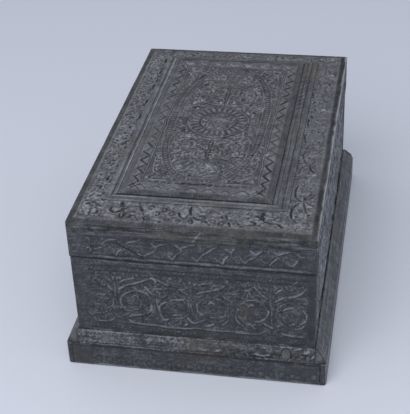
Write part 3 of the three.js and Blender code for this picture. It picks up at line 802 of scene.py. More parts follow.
def brass_material():
    material = bpy.data.materials.new("cast brass, tarnished")
    material.use_nodes = True
    tree = material.node_tree
    shader = tree.nodes["Principled BSDF"]
    place = add_node(tree, "ShaderNodeTexCoord").outputs["Object"]
    tarnish = add_node(tree, "ShaderNodeTexNoise", inputs={"Scale": 1 / (TARNISH_MM * MM), "Detail": 5.0},
                       links={"Vector": place})
    ramp = add_node(tree, "ShaderNodeValToRGB", links={"Fac": tarnish.outputs["Fac"]})
    first, last = ramp.color_ramp.elements
    first.position, first.color = 0.35, linear("#4d3f24")
    last.position, last.color = 0.72, linear("#9b8047")
    tree.links.new(ramp.outputs["Color"], shader.inputs["Base Color"])
    shader.inputs["Metallic"].default_value = 1.0
    dull = add_node(tree, "ShaderNodeMapRange", links={"Value": tarnish.outputs["Fac"]}, inputs={
        "From Min": 0.3, "From Max": 0.7, "To Min": 0.62, "To Max": 0.34})
    tree.links.new(dull.outputs["Result"], shader.inputs["Roughness"])
    return material


brass = brass_material()
print("materials:", [m.name for m in bpy.data.materials])


# %% [markdown]
# ## Rows of small cuts
# Bands of equal slanted nicks run along every board, and the same gouge made the flutes of the rosette
# and the rungs of the oval. Geometry Nodes suits such repeats: one tree walks along any line of points,
# sets a small bead at each step, turns it to the line and a slant of its own, and varies its size a
# little, as a hand does. The bead has a few dozen faces, because it comes back hundreds of times.

# %% Row of beads tree
BEAD_SEGMENTS, BEAD_RINGS = 10, 6
BEAD_GAIN = 1.1


def new_tree(name, floats):
    """An empty Geometry Nodes tree with a line, sizes, a seed and a material as its named inputs."""
    tree = bpy.data.node_groups.new(name, "GeometryNodeTree")
    tree.interface.new_socket("Line", in_out="INPUT", socket_type="NodeSocketGeometry")
    for size in floats:
        tree.interface.new_socket(size, in_out="INPUT", socket_type="NodeSocketFloat")
    tree.interface.new_socket("Seed", in_out="INPUT", socket_type="NodeSocketInt")
    tree.interface.new_socket("Material", in_out="INPUT", socket_type="NodeSocketMaterial")
    tree.interface.new_socket("Result", in_out="OUTPUT", socket_type="NodeSocketGeometry")
    return tree, add_node(tree, "NodeGroupInput").outputs


def bead_tree():
    tree, given = new_tree("beads along a line", ("Pitch", "Along", "Across", "Height", "Slant", "Variation"))
    path = add_node(tree, "GeometryNodeMeshToCurve", links={"Mesh": given["Line"]})
    steps = add_node(tree, "GeometryNodeResampleCurve", {"mode": "LENGTH"}, links={
        "Curve": path.outputs["Curve"], "Length": given["Pitch"]})
    tangent = add_node(tree, "GeometryNodeInputTangent")
    facing = add_node(tree, "FunctionNodeAlignRotationToVector", {"axis": "X", "pivot_axis": "Z"}, links={
        "Vector": tangent.outputs["Tangent"]})
    slant = add_node(tree, "ShaderNodeCombineXYZ", links={"Z": given["Slant"]})
    slanted = add_node(tree, "FunctionNodeRotateRotation", {"rotation_space": "LOCAL"}, links={
        "Rotation": facing.outputs["Rotation"], "Rotate By": slant.outputs["Vector"]})
    size = add_node(tree, "ShaderNodeCombineXYZ", links={
        "X": given["Along"], "Y": given["Across"], "Z": given["Height"]})
    bead = add_node(tree, "GeometryNodeMeshUVSphere", inputs={
        "Segments": BEAD_SEGMENTS, "Rings": BEAD_RINGS, "Radius": 0.5})
    shaped = add_node(tree, "GeometryNodeTransform", links={
        "Geometry": bead.outputs["Mesh"], "Scale": size.outputs["Vector"]})
    least = add_node(tree, "ShaderNodeMath", {"operation": "SUBTRACT"}, {0: 1.0}, {1: given["Variation"]})
    change = add_node(tree, "FunctionNodeRandomValue", inputs={3: 1.0}, links={
        2: least.outputs[0], "Seed": given["Seed"]})
    beads = add_node(tree, "GeometryNodeInstanceOnPoints", links={
        "Points": steps.outputs["Curve"], "Instance": shaped.outputs["Geometry"],
        "Rotation": slanted.outputs["Rotation"], "Scale": change.outputs[1]})
    return close_tree(tree, beads.outputs["Instances"], given)


def close_tree(tree, geometry, given):
    """Every tree ends alike: real copies, smooth faces, the material."""
    real = add_node(tree, "GeometryNodeRealizeInstances", links={"Geometry": geometry})
    smooth = add_node(tree, "GeometryNodeSetShadeSmooth", links={"Geometry": real.outputs["Geometry"]})
    clad = add_node(tree, "GeometryNodeSetMaterial", links={
        "Geometry": smooth.outputs["Geometry"], "Material": given["Material"]})
    add_node(tree, "NodeGroupOutput", links={"Result": clad.outputs["Geometry"]})
    return tree


BEAD_TREE = bead_tree()
print("tree:", BEAD_TREE.name, len(BEAD_TREE.nodes), "nodes")

# %% [markdown]
# The tree hangs on a guide mesh of one line, and a plain mesh is taken from the result, because each body of
# the box needs real faces of its own. Then the guide and its modifier go. A bead is palest on top, like any
# crest.

# %% Growing rows
def grown(line, level, sizes, material, seed, closed=False, shine=1.0):
    """Points, faces and the rubbed attribute of the beads along a line (u, v) at a level w, all in mm."""
    points = [(float(u), float(v), level) for u, v in line]
    edges = [(k, k + 1) for k in range(len(points) - 1)]
    if closed:
        edges.append((len(points) - 1, 0))
    guide = bpy.data.meshes.new("guide")
    guide.from_pydata(points, edges, [])
    carrier = bpy.data.objects.new("guide", guide)
    bpy.context.collection.objects.link(carrier)
    modifier = carrier.modifiers.new("row", "NODES")
    modifier.node_group = BEAD_TREE
    values = {**sizes, "Seed": seed, "Material": material}
    for item in BEAD_TREE.interface.items_tree:
        if item.in_out == "INPUT" and item.name in values:
            modifier[item.identifier] = values[item.name]
    bpy.context.view_layer.update()
    result = bpy.data.meshes.new_from_object(carrier.evaluated_get(bpy.context.evaluated_depsgraph_get()))
    carrier.modifiers.remove(modifier)
    bpy.data.objects.remove(carrier)
    place = places_of(result)
    faces = [list(p.vertices) for p in result.polygons]
    bpy.data.meshes.remove(result)
    rubbed = shine * (BEAD_GAIN * (place[:, 2] - level) / (sizes["Height"] / 2) - BEAD_GAIN / 2)
    return place, faces, rubbed


def joined_rows(name, rows, corner, axes):
    """Several grown rows as one mesh in the frame."""
    points, faces, rubbed = [], [], []
    for place, row_faces, row_rubbed in rows:
        start = sum(map(len, points))
        points.append(place)
        rubbed.append(row_rubbed)
        faces += [[start + k for k in face] for face in row_faces]
    mesh = bpy.data.meshes.new(name)
    mesh.from_pydata(place_on(np.concatenate(points), corner, axes).tolist(), [], faces)
    attribute = mesh.attributes.new("rubbed", "FLOAT", "POINT")
    attribute.data.foreach_set("value", np.concatenate(rubbed).astype(np.float32))
    mesh.shade_smooth()
    return mesh


print("faces of a bead:", BEAD_SEGMENTS * BEAD_RINGS)
# %% [markdown]
# ## The walls of the body
# Each wall is carved in one long strip: linked roundels with a flower in each, and between them by turns
# a palmette that opens upwards with one long leaf, and a stem on a spreading foot. It is worn so flat
# that only the crests that hands reach still shine, so each line below says how wide its rib is and how
# pale its crest is painted, for the rubbing and as a painted highlight. The long walls carry more of the
# same, so the same lines are drawn there twice, one after the other.

# %% Lines of the wall
ROUNDEL_FIRST, ROUNDEL_PITCH, ROUNDEL_RADIUS, ROUNDEL_FROM_TOP = 14.9, 24.1, 9.6, 32.9
BOLD, PLAIN, FAINT = (1.0, 1.2), (0.8, 0.75), (0.65, 0.3)
WALL_STROKES = (
    (BOLD, (28.5, 23), (31, 20.7), (34.4, 18.7), (38.3, 17.4), (41.7, 16.4), (44.8, 14.5), (48.2, 12.9)),
    (PLAIN, (29.5, 17.8), (31.5, 15.5), (34.3, 14.1), (39.6, 13.2)),
    (PLAIN, (21, 13.8), (23, 15.7), (24.9, 17.4)), (PLAIN, (26.9, 12.6), (26.2, 14.5), (25.6, 16.4)),
    (PLAIN, (28.5, 13.2), (28.6, 15)), (PLAIN, (30.3, 13), (30.1, 14.7)),
    (PLAIN, (21.8, 20.5), (23.3, 22.2), (24.6, 24.1)),
    (FAINT, (26.5, 18), (26.8, 23), (26.4, 29), (26.9, 33.7)),
    (FAINT, (25.4, 29), (25.1, 32.9), (24.1, 35.8), (22, 37.5), (18.4, 38.9)),
    (PLAIN, (25.5, 24.1), (26, 24.4)), (PLAIN, (28.9, 23.9), (29.4, 24.2)),
    (BOLD, (24.1, 41.9), (26, 43.6), (27.7, 45.3)), (BOLD, (27.7, 45.3), (30.2, 43.2), (33.7, 40.9)),
    (PLAIN, (31, 45), (34.4, 43), (39.8, 41.9), (45.1, 40.4), (47.8, 38.3), (49, 33.7), (49.3, 29.8)),
    (PLAIN, (6.5, 25.9), (8.6, 25.6)), (PLAIN, (7.3, 41.7), (9.9, 44.8), (11.5, 43), (13.2, 43.3)),
    (FAINT, (6, 48.2), (6.5, 45.9), (7.3, 44.8)), (PLAIN, (13.8, 28.5), (15.3, 27.2), (17.4, 27.7)),
    (PLAIN, (14.5, 13), (17.6, 12.6)),
    (PLAIN, (34.8, 39.8), (31.4, 38.3), (29.5, 34.4), (29.1, 30.6), (30.6, 26.8), (33.7, 24.1), (37.5, 23)),
    (PLAIN, (41.3, 23), (45.1, 24.5), (47.8, 26.8), (49, 29.5)),
    (PLAIN, (36.6, 28.7), (37.1, 27.2), (38.6, 26.6), (40.2, 27.4), (40.6, 28.9)),
    (PLAIN, (34, 33.7), (34.8, 32.7), (36.3, 32.9)), (PLAIN, (28.5, 37.6), (30.2, 36.6), (32.5, 36.3)),
    (PLAIN, (36, 36), (37.9, 37.5), (40.6, 37.1)), (PLAIN, (41.7, 30.6), (43.2, 32.1), (41.3, 35.6)),
    (BOLD, (49, 13), (50.1, 12.2), (52, 13.8), (52.8, 15.3)),
    (FAINT, (49.3, 26.4), (50.1, 30.6), (49.6, 34.4), (48.7, 38.3), (48.2, 41.7), (45.9, 44)),
    (FAINT, (50.1, 36), (49.3, 39.8), (49, 42.8)),
    (PLAIN, (52.6, 27.5), (52.8, 32.1), (52.9, 36.9), (53.7, 40.6), (55.5, 42.8)),
    (BOLD, (54.5, 42.8), (56.2, 43.8), (58.8, 42.8)), (PLAIN, (53.6, 13.6), (56.6, 15.1), (59.5, 16.4)),
    (FAINT, (59.8, 12.1), (60.1, 16.4)), (FAINT, (50.9, 20), (54.3, 19.9), (58, 20)),
    (FAINT, (53.6, 26.4), (55.9, 26.2), (57.8, 25.6)), (PLAIN, (66.6, 18.7), (68.9, 20.8), (71.5, 23.1)),
    (PLAIN, (57.4, 29.5), (55.2, 31.4), (53.7, 33.7), (53.2, 36.7), (54.5, 39.8)),
    (PLAIN, (60.4, 27.7), (64.7, 27.4), (69.5, 26.9)),
    (FAINT, (72.3, 25.2), (72.5, 29.1), (72.1, 32.9), (70.8, 36.3)),
    (PLAIN, (61.6, 39.5), (64.7, 39.2), (67.7, 38.9)), (BOLD, (71.7, 33), (72.1, 33.2)),
    (BOLD, (76.5, 22.2), (80.3, 20), (84.2, 18.7), (88, 17.8), (91.8, 16.4), (93.7, 15.1), (95, 13.6)),
    (PLAIN, (76.9, 16.4), (79.2, 14.4), (82.2, 13), (86.8, 12.1)),
    (PLAIN, (69.2, 13.6), (70.5, 15.3), (71.3, 18.4)), (PLAIN, (73.6, 12.8), (73.6, 14.3)),
    (BOLD, (75.4, 16), (76.5, 14.5), (78.2, 13.9)), (FAINT, (73.6, 19), (73.8, 33), (74.4, 39.8)),
    (BOLD, (70.8, 40.6), (72.7, 43.2), (74.8, 45.3)), (PLAIN, (74.8, 45.3), (77.3, 43.6), (81.7, 41.3)),
    (BOLD, (69.1, 47.3), (70.2, 46.3), (71.3, 45.9)), (BOLD, (82.5, 46.4), (84.9, 45.1), (87.7, 43.6)),
    (FAINT, (77.3, 29.1), (76.9, 32.9), (78, 36.7), (81.1, 39.4)),
    (FAINT, (95.6, 30.2), (95.5, 33.7), (94.9, 36), (93, 38.3), (90.3, 39.4), (85.7, 39.8)),
    (PLAIN, (84.2, 29.1), (84.8, 27.7), (86.5, 27), (88, 28.5)), (PLAIN, (83.8, 21.8), (84.5, 23.7)),
    (PLAIN, (89.5, 23.9), (91, 24.3), (93, 23.9)), (PLAIN, (91.8, 19.5), (93.7, 21.3), (97.6, 24.6)),
    (FAINT, (94.9, 20), (98.7, 19.6), (102.9, 19.6)), (PLAIN, (77.7, 36.9), (81.3, 37.3)),
    (PLAIN, (84.9, 38.3), (88, 38.6), (93.3, 37.3)), (PLAIN, (94.5, 34.8), (95.3, 32.5)),
    (FAINT, (96.6, 26.4), (96.9, 38.3)), (PLAIN, (96.9, 39.4), (94.9, 42.5), (92.4, 45.1)),
    (PLAIN, (101.1, 32.1), (101.1, 38.3), (102.9, 42.1), (106.5, 44.4)),
    (PLAIN, (102.9, 29.8), (101.9, 32.9), (102.7, 36.3), (105.2, 38.6)),
    (BOLD, (121.3, 29.5), (121.2, 32.5), (119.5, 35.8), (116.7, 38.4), (113.6, 39.3), (110.8, 39.5)),
    (FAINT, (107.1, 24.5), (110.9, 23.1), (114.8, 23.3), (118.2, 25.2)),
    (BOLD, (108.6, 28.9), (109.6, 27.4), (111.3, 26.9), (113.1, 28.5)),
    (BOLD, (108.5, 32.5), (107.7, 35.2), (106.4, 38.1)),
    (PLAIN, (107.1, 16.4), (109.4, 16.1), (111.6, 15.6)),
    (PLAIN, (112.3, 13), (114.8, 15.7), (117.8, 18.4), (120.7, 21)), (PLAIN, (115.1, 12.9), (117.4, 13.6)),
    (PLAIN, (119.4, 13), (121.3, 15.7)),
    (BOLD, (125.5, 23.1), (127.4, 20.8), (130.1, 19.3), (133.9, 18.4), (137.3, 17.3), (140.8, 15.5),
     (144, 12.1)), (PLAIN, (125.5, 16.2), (127.2, 14.5), (130.2, 12.9)),
    (FAINT, (122.6, 19.9), (123.2, 30), (123.8, 41.3)), (BOLD, (118.2, 40.6), (121.3, 42.2), (124.3, 43.9)),
    (BOLD, (126.2, 42.4), (127.9, 41.2), (130.1, 40.2)),
    (BOLD, (111.3, 42.8), (112.3, 44.4), (113.6, 46.2)),
    (PLAIN, (130.1, 29.2), (131.8, 27.7), (134.3, 26.9), (137.1, 26.8)),
    (PLAIN, (126.6, 30), (127.9, 29.5)),
    (PLAIN, (141.5, 27.5), (144.2, 30.6), (144.6, 33.7), (143.1, 36.7), (140, 38.6)),
    (PLAIN, (136.2, 42.2), (139.6, 42.1), (141.5, 41.3), (143.2, 39.4)), (PLAIN, (135, 38.3), (137, 39)),
)
LOWER_FILLET = (
    (PLAIN, (12.6, 49), (20.7, 48.7), (22.8, 47.3), (24.6, 46.1)),
    (PLAIN, (32.9, 45.9), (34.4, 47.4), (36.7, 48.4), (42.8, 49), (68.9, 49.7), (76.5, 48.4),
     (88.8, 49.3), (114.8, 49), (116.4, 48), (118.2, 46.4), (120.9, 45.9)),
    (PLAIN, (128.4, 45.9), (130, 47.8), (136.2, 48), (144.6, 48.4)),
)


def draw(sheet, strokes, top, shift, last, crest=-0.1):
    """Draw the lines of a carving as ribs, moved to the right by a shift and up to a last u."""
    for (half_width, shine), *points in strokes:
        line = [(u + shift, top - from_top) for u, from_top in points]
        if max(u for u, _ in line) < last:
            sheet.rib(smooth(line), half_width, crest, "stroke", shine)


print("lines on a wall:", len(WALL_STROKES) + len(LOWER_FILLET))

# %% [markdown]
# Between the lines that still shine, the ground shows worn stumps of the same pattern: the rings of the
# roundels, eight-petalled flowers in them, the trunks of the stems, and a scatter of small leaves.

# %% Wall carving
WALL_GROUND_MM = 0.8
MOULDING_TOP = node_box("front_moulding")[1][2] - node_box("front_wall")[0][2]
SUNK_FROM_TOP, FIELD_FROM_TOP, FIELD_TO_TOP = 4.6, 9.0, 49.6
BEAD_ROWS_FROM_TOP, BEAD_PITCHES = (6.9, 52.4), (5.05, 5.2)
WALL_NICKS = {"Along": 1.7, "Across": 3.9, "Height": 0.9, "Slant": -0.85, "Variation": 0.35}
REPEAT = 6 * ROUNDEL_PITCH
STUMP_CREST = -0.38
FLOWER_RADIUS, FLOWER_PETALS = 6.2, (6, 8)
TRUNK_FROM_TOP, TRUNK_HALF_WIDTH, TRUNK_CREST = (25.6, 46), 1.7, -0.3
STUMP_LEAVES = ((12, 4), (16, 5.5), (44, 7))
DARK_LINES = ((9.0, -0.7), (49.9, -0.4), (55.2, -0.5))
SCRATCH = ((45.4, 20), (49, 24.6))
BROWN_PLACE = ((103, 38), (111, 28))


def wall_sheet(spans, margins, step, seed):
    """The carved sheet of a wall whose top edge is at v = spans[1]."""
    sheet = Sheet(spans, step, MOULDING_TOP - 0.4)
    left, right = margins[0], spans[0] - margins[1]
    top = spans[1]
    sheet.sink((left, MOULDING_TOP), (right, top - SUNK_FROM_TOP), WALL_GROUND_MM, (5.0, 0.8))
    centres = np.arange(ROUNDEL_FIRST, right - 8, ROUNDEL_PITCH)
    for k, u in enumerate(centres):
        centre, petals = np.array((u, top - ROUNDEL_FROM_TOP)), FLOWER_PETALS[k % 2]
        sheet.rib(ring(centre, ROUNDEL_RADIUS), 0.7, STUMP_CREST, shine=0.15)
        sheet.flower(centre, FLOWER_RADIUS, petals, STUMP_CREST, 0.2 + 0.35 * k)
    for k, u in enumerate(centres[:-1] + ROUNDEL_PITCH / 2):
        if k % 2:
            trunk = [(u - 0.4, top - TRUNK_FROM_TOP[0]), (u, top - TRUNK_FROM_TOP[1])]
            sheet.rib(trunk, TRUNK_HALF_WIDTH, TRUNK_CREST)
        for from_top, reach in STUMP_LEAVES:
            for way in (-1, 1):
                root, tip = (u + way, top - from_top - 5), (u + way * reach, top - from_top)
                sheet.leaf(root, tip, 1.1, STUMP_CREST, 0.2 * way)
    for shift in np.arange(0, spans[0] - 60, REPEAT):
        draw(sheet, WALL_STROKES, top, shift, right + 1)
        draw(sheet, LOWER_FILLET, top, shift, right + 1)
    field = (left + 2, top - FIELD_TO_TOP), (right - 2, top - FIELD_FROM_TOP)
    sheet.strew(*field, 1500, seed, 4.0, 0.85, top=-0.4, strength=0.35)
    sheet.strew(*field, 900, seed + 1, 3.0, 0.7, depth=0.3, clear=0.4, strength=0.5)
    sheet.rib([(left, top - 4.8), (right, top - 4.8)], 0.5, -0.1, shine=0.3)
    for from_top, amount in DARK_LINES:
        sheet.paint([(left + 3, top - from_top), (right - 3, top - from_top)], 0.8, amount)
    sheet.band((right - 1, MOULDING_TOP), (spans[0] + 5, top - 3), -0.45, (3, 3))
    # Painted shadow along the top edge, where the gap under the lid lies.
    sheet.paint([(0, top), (spans[0], top)], 0.9, -1.5)
    sheet.paint([(left + 3, top - 1.4), (left + 64, top - 1.4)], 0.7, 0.5)
    scratch, (low, high) = [(u, top - from_top) for u, from_top in SCRATCH], BROWN_PLACE
    sheet.paint(scratch, 0.55, 3.2)
    sheet.band((low[0], top - low[1]), (high[0], top - high[1]), 0.6, (5, 5), "bare")
    sheet.age(seed)
    return sheet


def wall_rows(name, node, side, margins, material, seed):
    corner, axes, spans = face_frame(node, side)
    rows = []
    for k, (from_top, pitch) in enumerate(zip(BEAD_ROWS_FROM_TOP, BEAD_PITCHES)):
        line = [(margins[0] + 5, spans[1] - from_top), (spans[0] - margins[1] - 3, spans[1] - from_top)]
        sizes = {"Pitch": pitch, **WALL_NICKS}
        rows.append(grown(line, 0.05 - WALL_GROUND_MM, sizes, material, seed + k, shine=0.8))
    finish_piece(joined_rows(name, rows, corner, axes), material, "base")


# %% [markdown]
# The two end walls run across the full width of the box, with a plain strip at either side, and the long
# walls stand between them. The far end repeats the near end, turned half round.

# %% Walls
END_MARGINS, LONG_MARGINS = (8.0, 4.0), (4.0, 4.0)
WALL_STEP_MM = 0.46
ENDS = ("front", "back")
for side in (*ENDS, "left", "right"):
    node = f"{side}_wall"
    margins, wood = (END_MARGINS, shaded_end_wood) if side in ENDS else (LONG_MARGINS, side_wood)
    sheet = wall_sheet(face_frame(node, side)[2], margins, WALL_STEP_MM, 11)
    mesh = board(f"{side}_wall_carved", node, side, sheet, radius=0.7, seed=21, gains=(1.1, 0.2),
                 arris_shine=2.6, dusty=0.4)
    finish_piece(mesh, wood, "base", [node])
    wall_rows(f"{side}_wall_nicks", node, side, margins, wood, 31)

# %% [markdown]
# ## The rim of the lid
# The low boards under the lid carry an interlace: ribbons rise to the right and cross others that fall.
# The middles are worn away, so that by turns a pale Y at the top and a pale V below are left. A plain
# bead runs along the lower edge. The carver began at the left of the near end with a clumsy knot and a
# long groove.

# %% Lines of the rim
LID_REACH = np.abs(node_box("lid_board")[0][:2])
LID_CORNER_MM = 2.2
RIM_STEP_MM = 0.44
RIM_GROUND_MM = 0.8
RIM_BEAD_MM = 2.1
RIM_MARGINS = {True: (12, 8), False: (2, 2)}
KNOT_PITCH = 14.5
RISING_RIBBON = ((3.5, 1.4), (6, 5), (9, 8.5), (14.2, 13.6))
FALLING_RIBBON = ((0, 14), (2.6, 9.5), (5, 6.5), (13, 1.8))
SIDE_NOTCHES = ((4.5, 12.5), (-2.5, 5.5), (8.5, 9.5))
LONG_GROOVE = ((30.7, 4.8), (34, 7.4), (38.6, 10.1), (43.6, 12.8), (46.3, 13.3))
END_RIM_STROKES = (
    (PLAIN, (12.7, 2.4), (14.7, 3.5), (13.9, 5.8), (15.8, 7.4)),
    (PLAIN, (11.6, 10.8), (13.5, 9.7), (15.4, 11), (13.9, 12.8)),
    (PLAIN, (16.6, 10.1), (18.1, 11), (19.3, 9.7), (21, 9.3)),
    (PLAIN, (15.8, 13.9), (18.1, 13.2), (20.2, 13.9)),
    (PLAIN, (22, 7.4), (23.1, 5.3), (25.5, 3.3), (27.9, 2.5), (30.6, 2.2)),
    (PLAIN, (29.9, 14.8), (30.7, 12.8), (32, 11), (34.1, 9.6)),
    (PLAIN, (35.6, 5.5), (38.2, 3.8), (40.9, 3), (43.4, 2.6)),
    (BOLD, (42.8, 11), (44.8, 12), (46.7, 12.8), (49.4, 11.2), (51.9, 9.9), (54.2, 8.7)),
    (PLAIN, (51.9, 3.2), (54.4, 6.1), (56.9, 3.8), (59.8, 3), (63.4, 2.4)),
    (PLAIN, (54.4, 6.1), (54.5, 9.3)),
    (BOLD, (61.3, 11), (62.9, 12.5), (64.5, 14.3), (65.2, 12.4), (66.8, 9.7)),
    (BOLD, (67, 3.3), (68.7, 4.7), (70.1, 5.6), (73.7, 3.5), (78.1, 2.5)),
    (PLAIN, (70.1, 5.6), (70.4, 7.6)), (BOLD, (76, 11), (77.9, 12.5), (79.5, 14.1)),
    (PLAIN, (78.9, 15.6), (80.2, 12.4), (82.6, 9.7), (85.6, 7.4), (88.6, 4.5), (91.5, 2.8)),
    (BOLD, (89.9, 10.5), (92.2, 12.8), (94.6, 14.8), (95.3, 11.8), (96.8, 9.7), (98.4, 8.7)),
    (PLAIN, (97.1, 3.8), (98.8, 4.8), (100.3, 6.2), (101.2, 4.3), (102.6, 2.5)),
    (PLAIN, (100.3, 6.2), (100.5, 7.8)),
    (BOLD, (105.6, 9.2), (106.9, 11), (108.2, 13), (109.6, 10.5), (111.5, 9.2), (113.6, 8.5)),
    (BOLD, (111.1, 3), (112.8, 4.5), (114.4, 5.9), (115.9, 4.1), (118.2, 2.5)),
    (FAINT, (111.9, 1), (115.7, 0.6)), (PLAIN, (117.9, 8.9), (119.2, 10.5), (120.5, 11.8)),
    (PLAIN, (122.7, 12.8), (123.8, 10.5), (127.5, 7.9)),
    (PLAIN, (124.8, 2.8), (126.5, 4.1), (128.2, 5.3), (131.2, 3.5), (134.4, 2.1)),
    (BOLD, (130.2, 7.9), (132.3, 9.9), (134.6, 12), (136.4, 11.8), (137.7, 10.1), (139.2, 7.9)),
    (PLAIN, (138, 2.4), (139.5, 3.8), (141.4, 5.2), (143.7, 4.7)),
)
KNOT_STROKES = (
    (BOLD, (-2.9, 11), (-1.4, 12.6), (0, 14.2), (0.8, 12.2), (2.4, 9.6)),
    (BOLD, (3.2, 3.2), (4.8, 4.6), (6.2, 5.8), (8.4, 4), (12, 2.4)),
    (FAINT, (2.4, 9.6), (4.5, 8), (7, 6), (8.4, 4)),
)


def rim_sheet(spans, at_end):
    sheet = Sheet(spans, RIM_STEP_MM)
    top = spans[1]
    low_u, high_u = RIM_MARGINS[at_end][0], spans[0] - RIM_MARGINS[at_end][1]
    sheet.sink((low_u, RIM_BEAD_MM), (high_u, top - 0.6), RIM_GROUND_MM, (5.0 if at_end else 1.0, 0.8))
    for at in np.arange(low_u + 6, high_u - 6, KNOT_PITCH):
        for ribbon, crest in ((RISING_RIBBON, -0.5), (FALLING_RIBBON, -0.45)):
            sheet.rib(curve(*((at + du, top - from_top) for du, from_top in ribbon)), 1.0, crest)
        if not at_end:
            draw(sheet, KNOT_STROKES, top, at, high_u)
            for du, from_top in SIDE_NOTCHES:
                notch = np.array((at + du, top - from_top))
                sheet.cut(bow(notch, notch + (3.2, 3.4), 0.2), 1.0, 0.7, "leaf", 1.2)
    if at_end:
        draw(sheet, END_RIM_STROKES, top, 0, high_u + 4)
        sheet.cut(smooth([(u, top - from_top) for u, from_top in LONG_GROOVE]), 0.8, 0.7, dirt=1.2)
    field = (low_u + 3, RIM_BEAD_MM + 0.8), (high_u - 3, top - 1.5)
    sheet.strew(*field, 420, 5, 3.0, 0.7, top=-0.45, clear=0.7)
    sheet.paint([(low_u + 9, RIM_BEAD_MM + 0.7), (high_u + 4, RIM_BEAD_MM + 0.7)], 0.7, -0.7)
    sheet.paint([(low_u + 9, 0.6), (high_u + 8, 0.6)], 0.7, 0.4)
    if at_end:
        # Painted shadow along the lower edge, in the gap over the wall.
        sheet.paint([(0, 0), (spans[0], 0)], 1.1, -1.5)
    else:
        sheet.tone += 0.5 * lattice_noise(sheet.flat, 3.5, 44) - 0.25
        sheet.paint([(0, 0.9), (spans[0], 0.9)], 1.0, 1.3)
    sheet.age(43, 0.45)
    return sheet


print("lines on an end rim:", len(END_RIM_STROKES))

# %% [markdown]
# The end rims run across the full width of the lid and the side rims stand between them, as the walls do. The
# upright corners of the lid are the roundest of the box, since that is where one takes hold of it.

# %% Rim boards
for side in (*ENDS, "left", "right"):
    node = f"lid_{side}_rim"
    sheet = rim_sheet(face_frame(node, side)[2], side in ENDS)
    mesh = board(f"lid_{side}_rim_carved", node, side, sheet, radius=0.6, seed=41, gains=(1.1, 0.2),
                 dusty=0.4)
    wear_corners(mesh, LID_REACH, LID_CORNER_MM)
    finish_piece(mesh, shaded_end_wood if side in ENDS else side_wood, "lid", [node])

# %% [markdown]
# ## The border of the lid
# On top, a low border of curls, leaves and small flowers runs along the sides, and three dark lilies are
# cut deep into the near border. Near the edge the board falls away in a plain bevel that has kept its
# black, with a pale line along its upper arris, rubbed and painted as a highlight, and a painted highlight
# along the right arris of the top. The lines below are gouge cuts, each with its half width, its depth and
# its points on the lid from the near left corner.

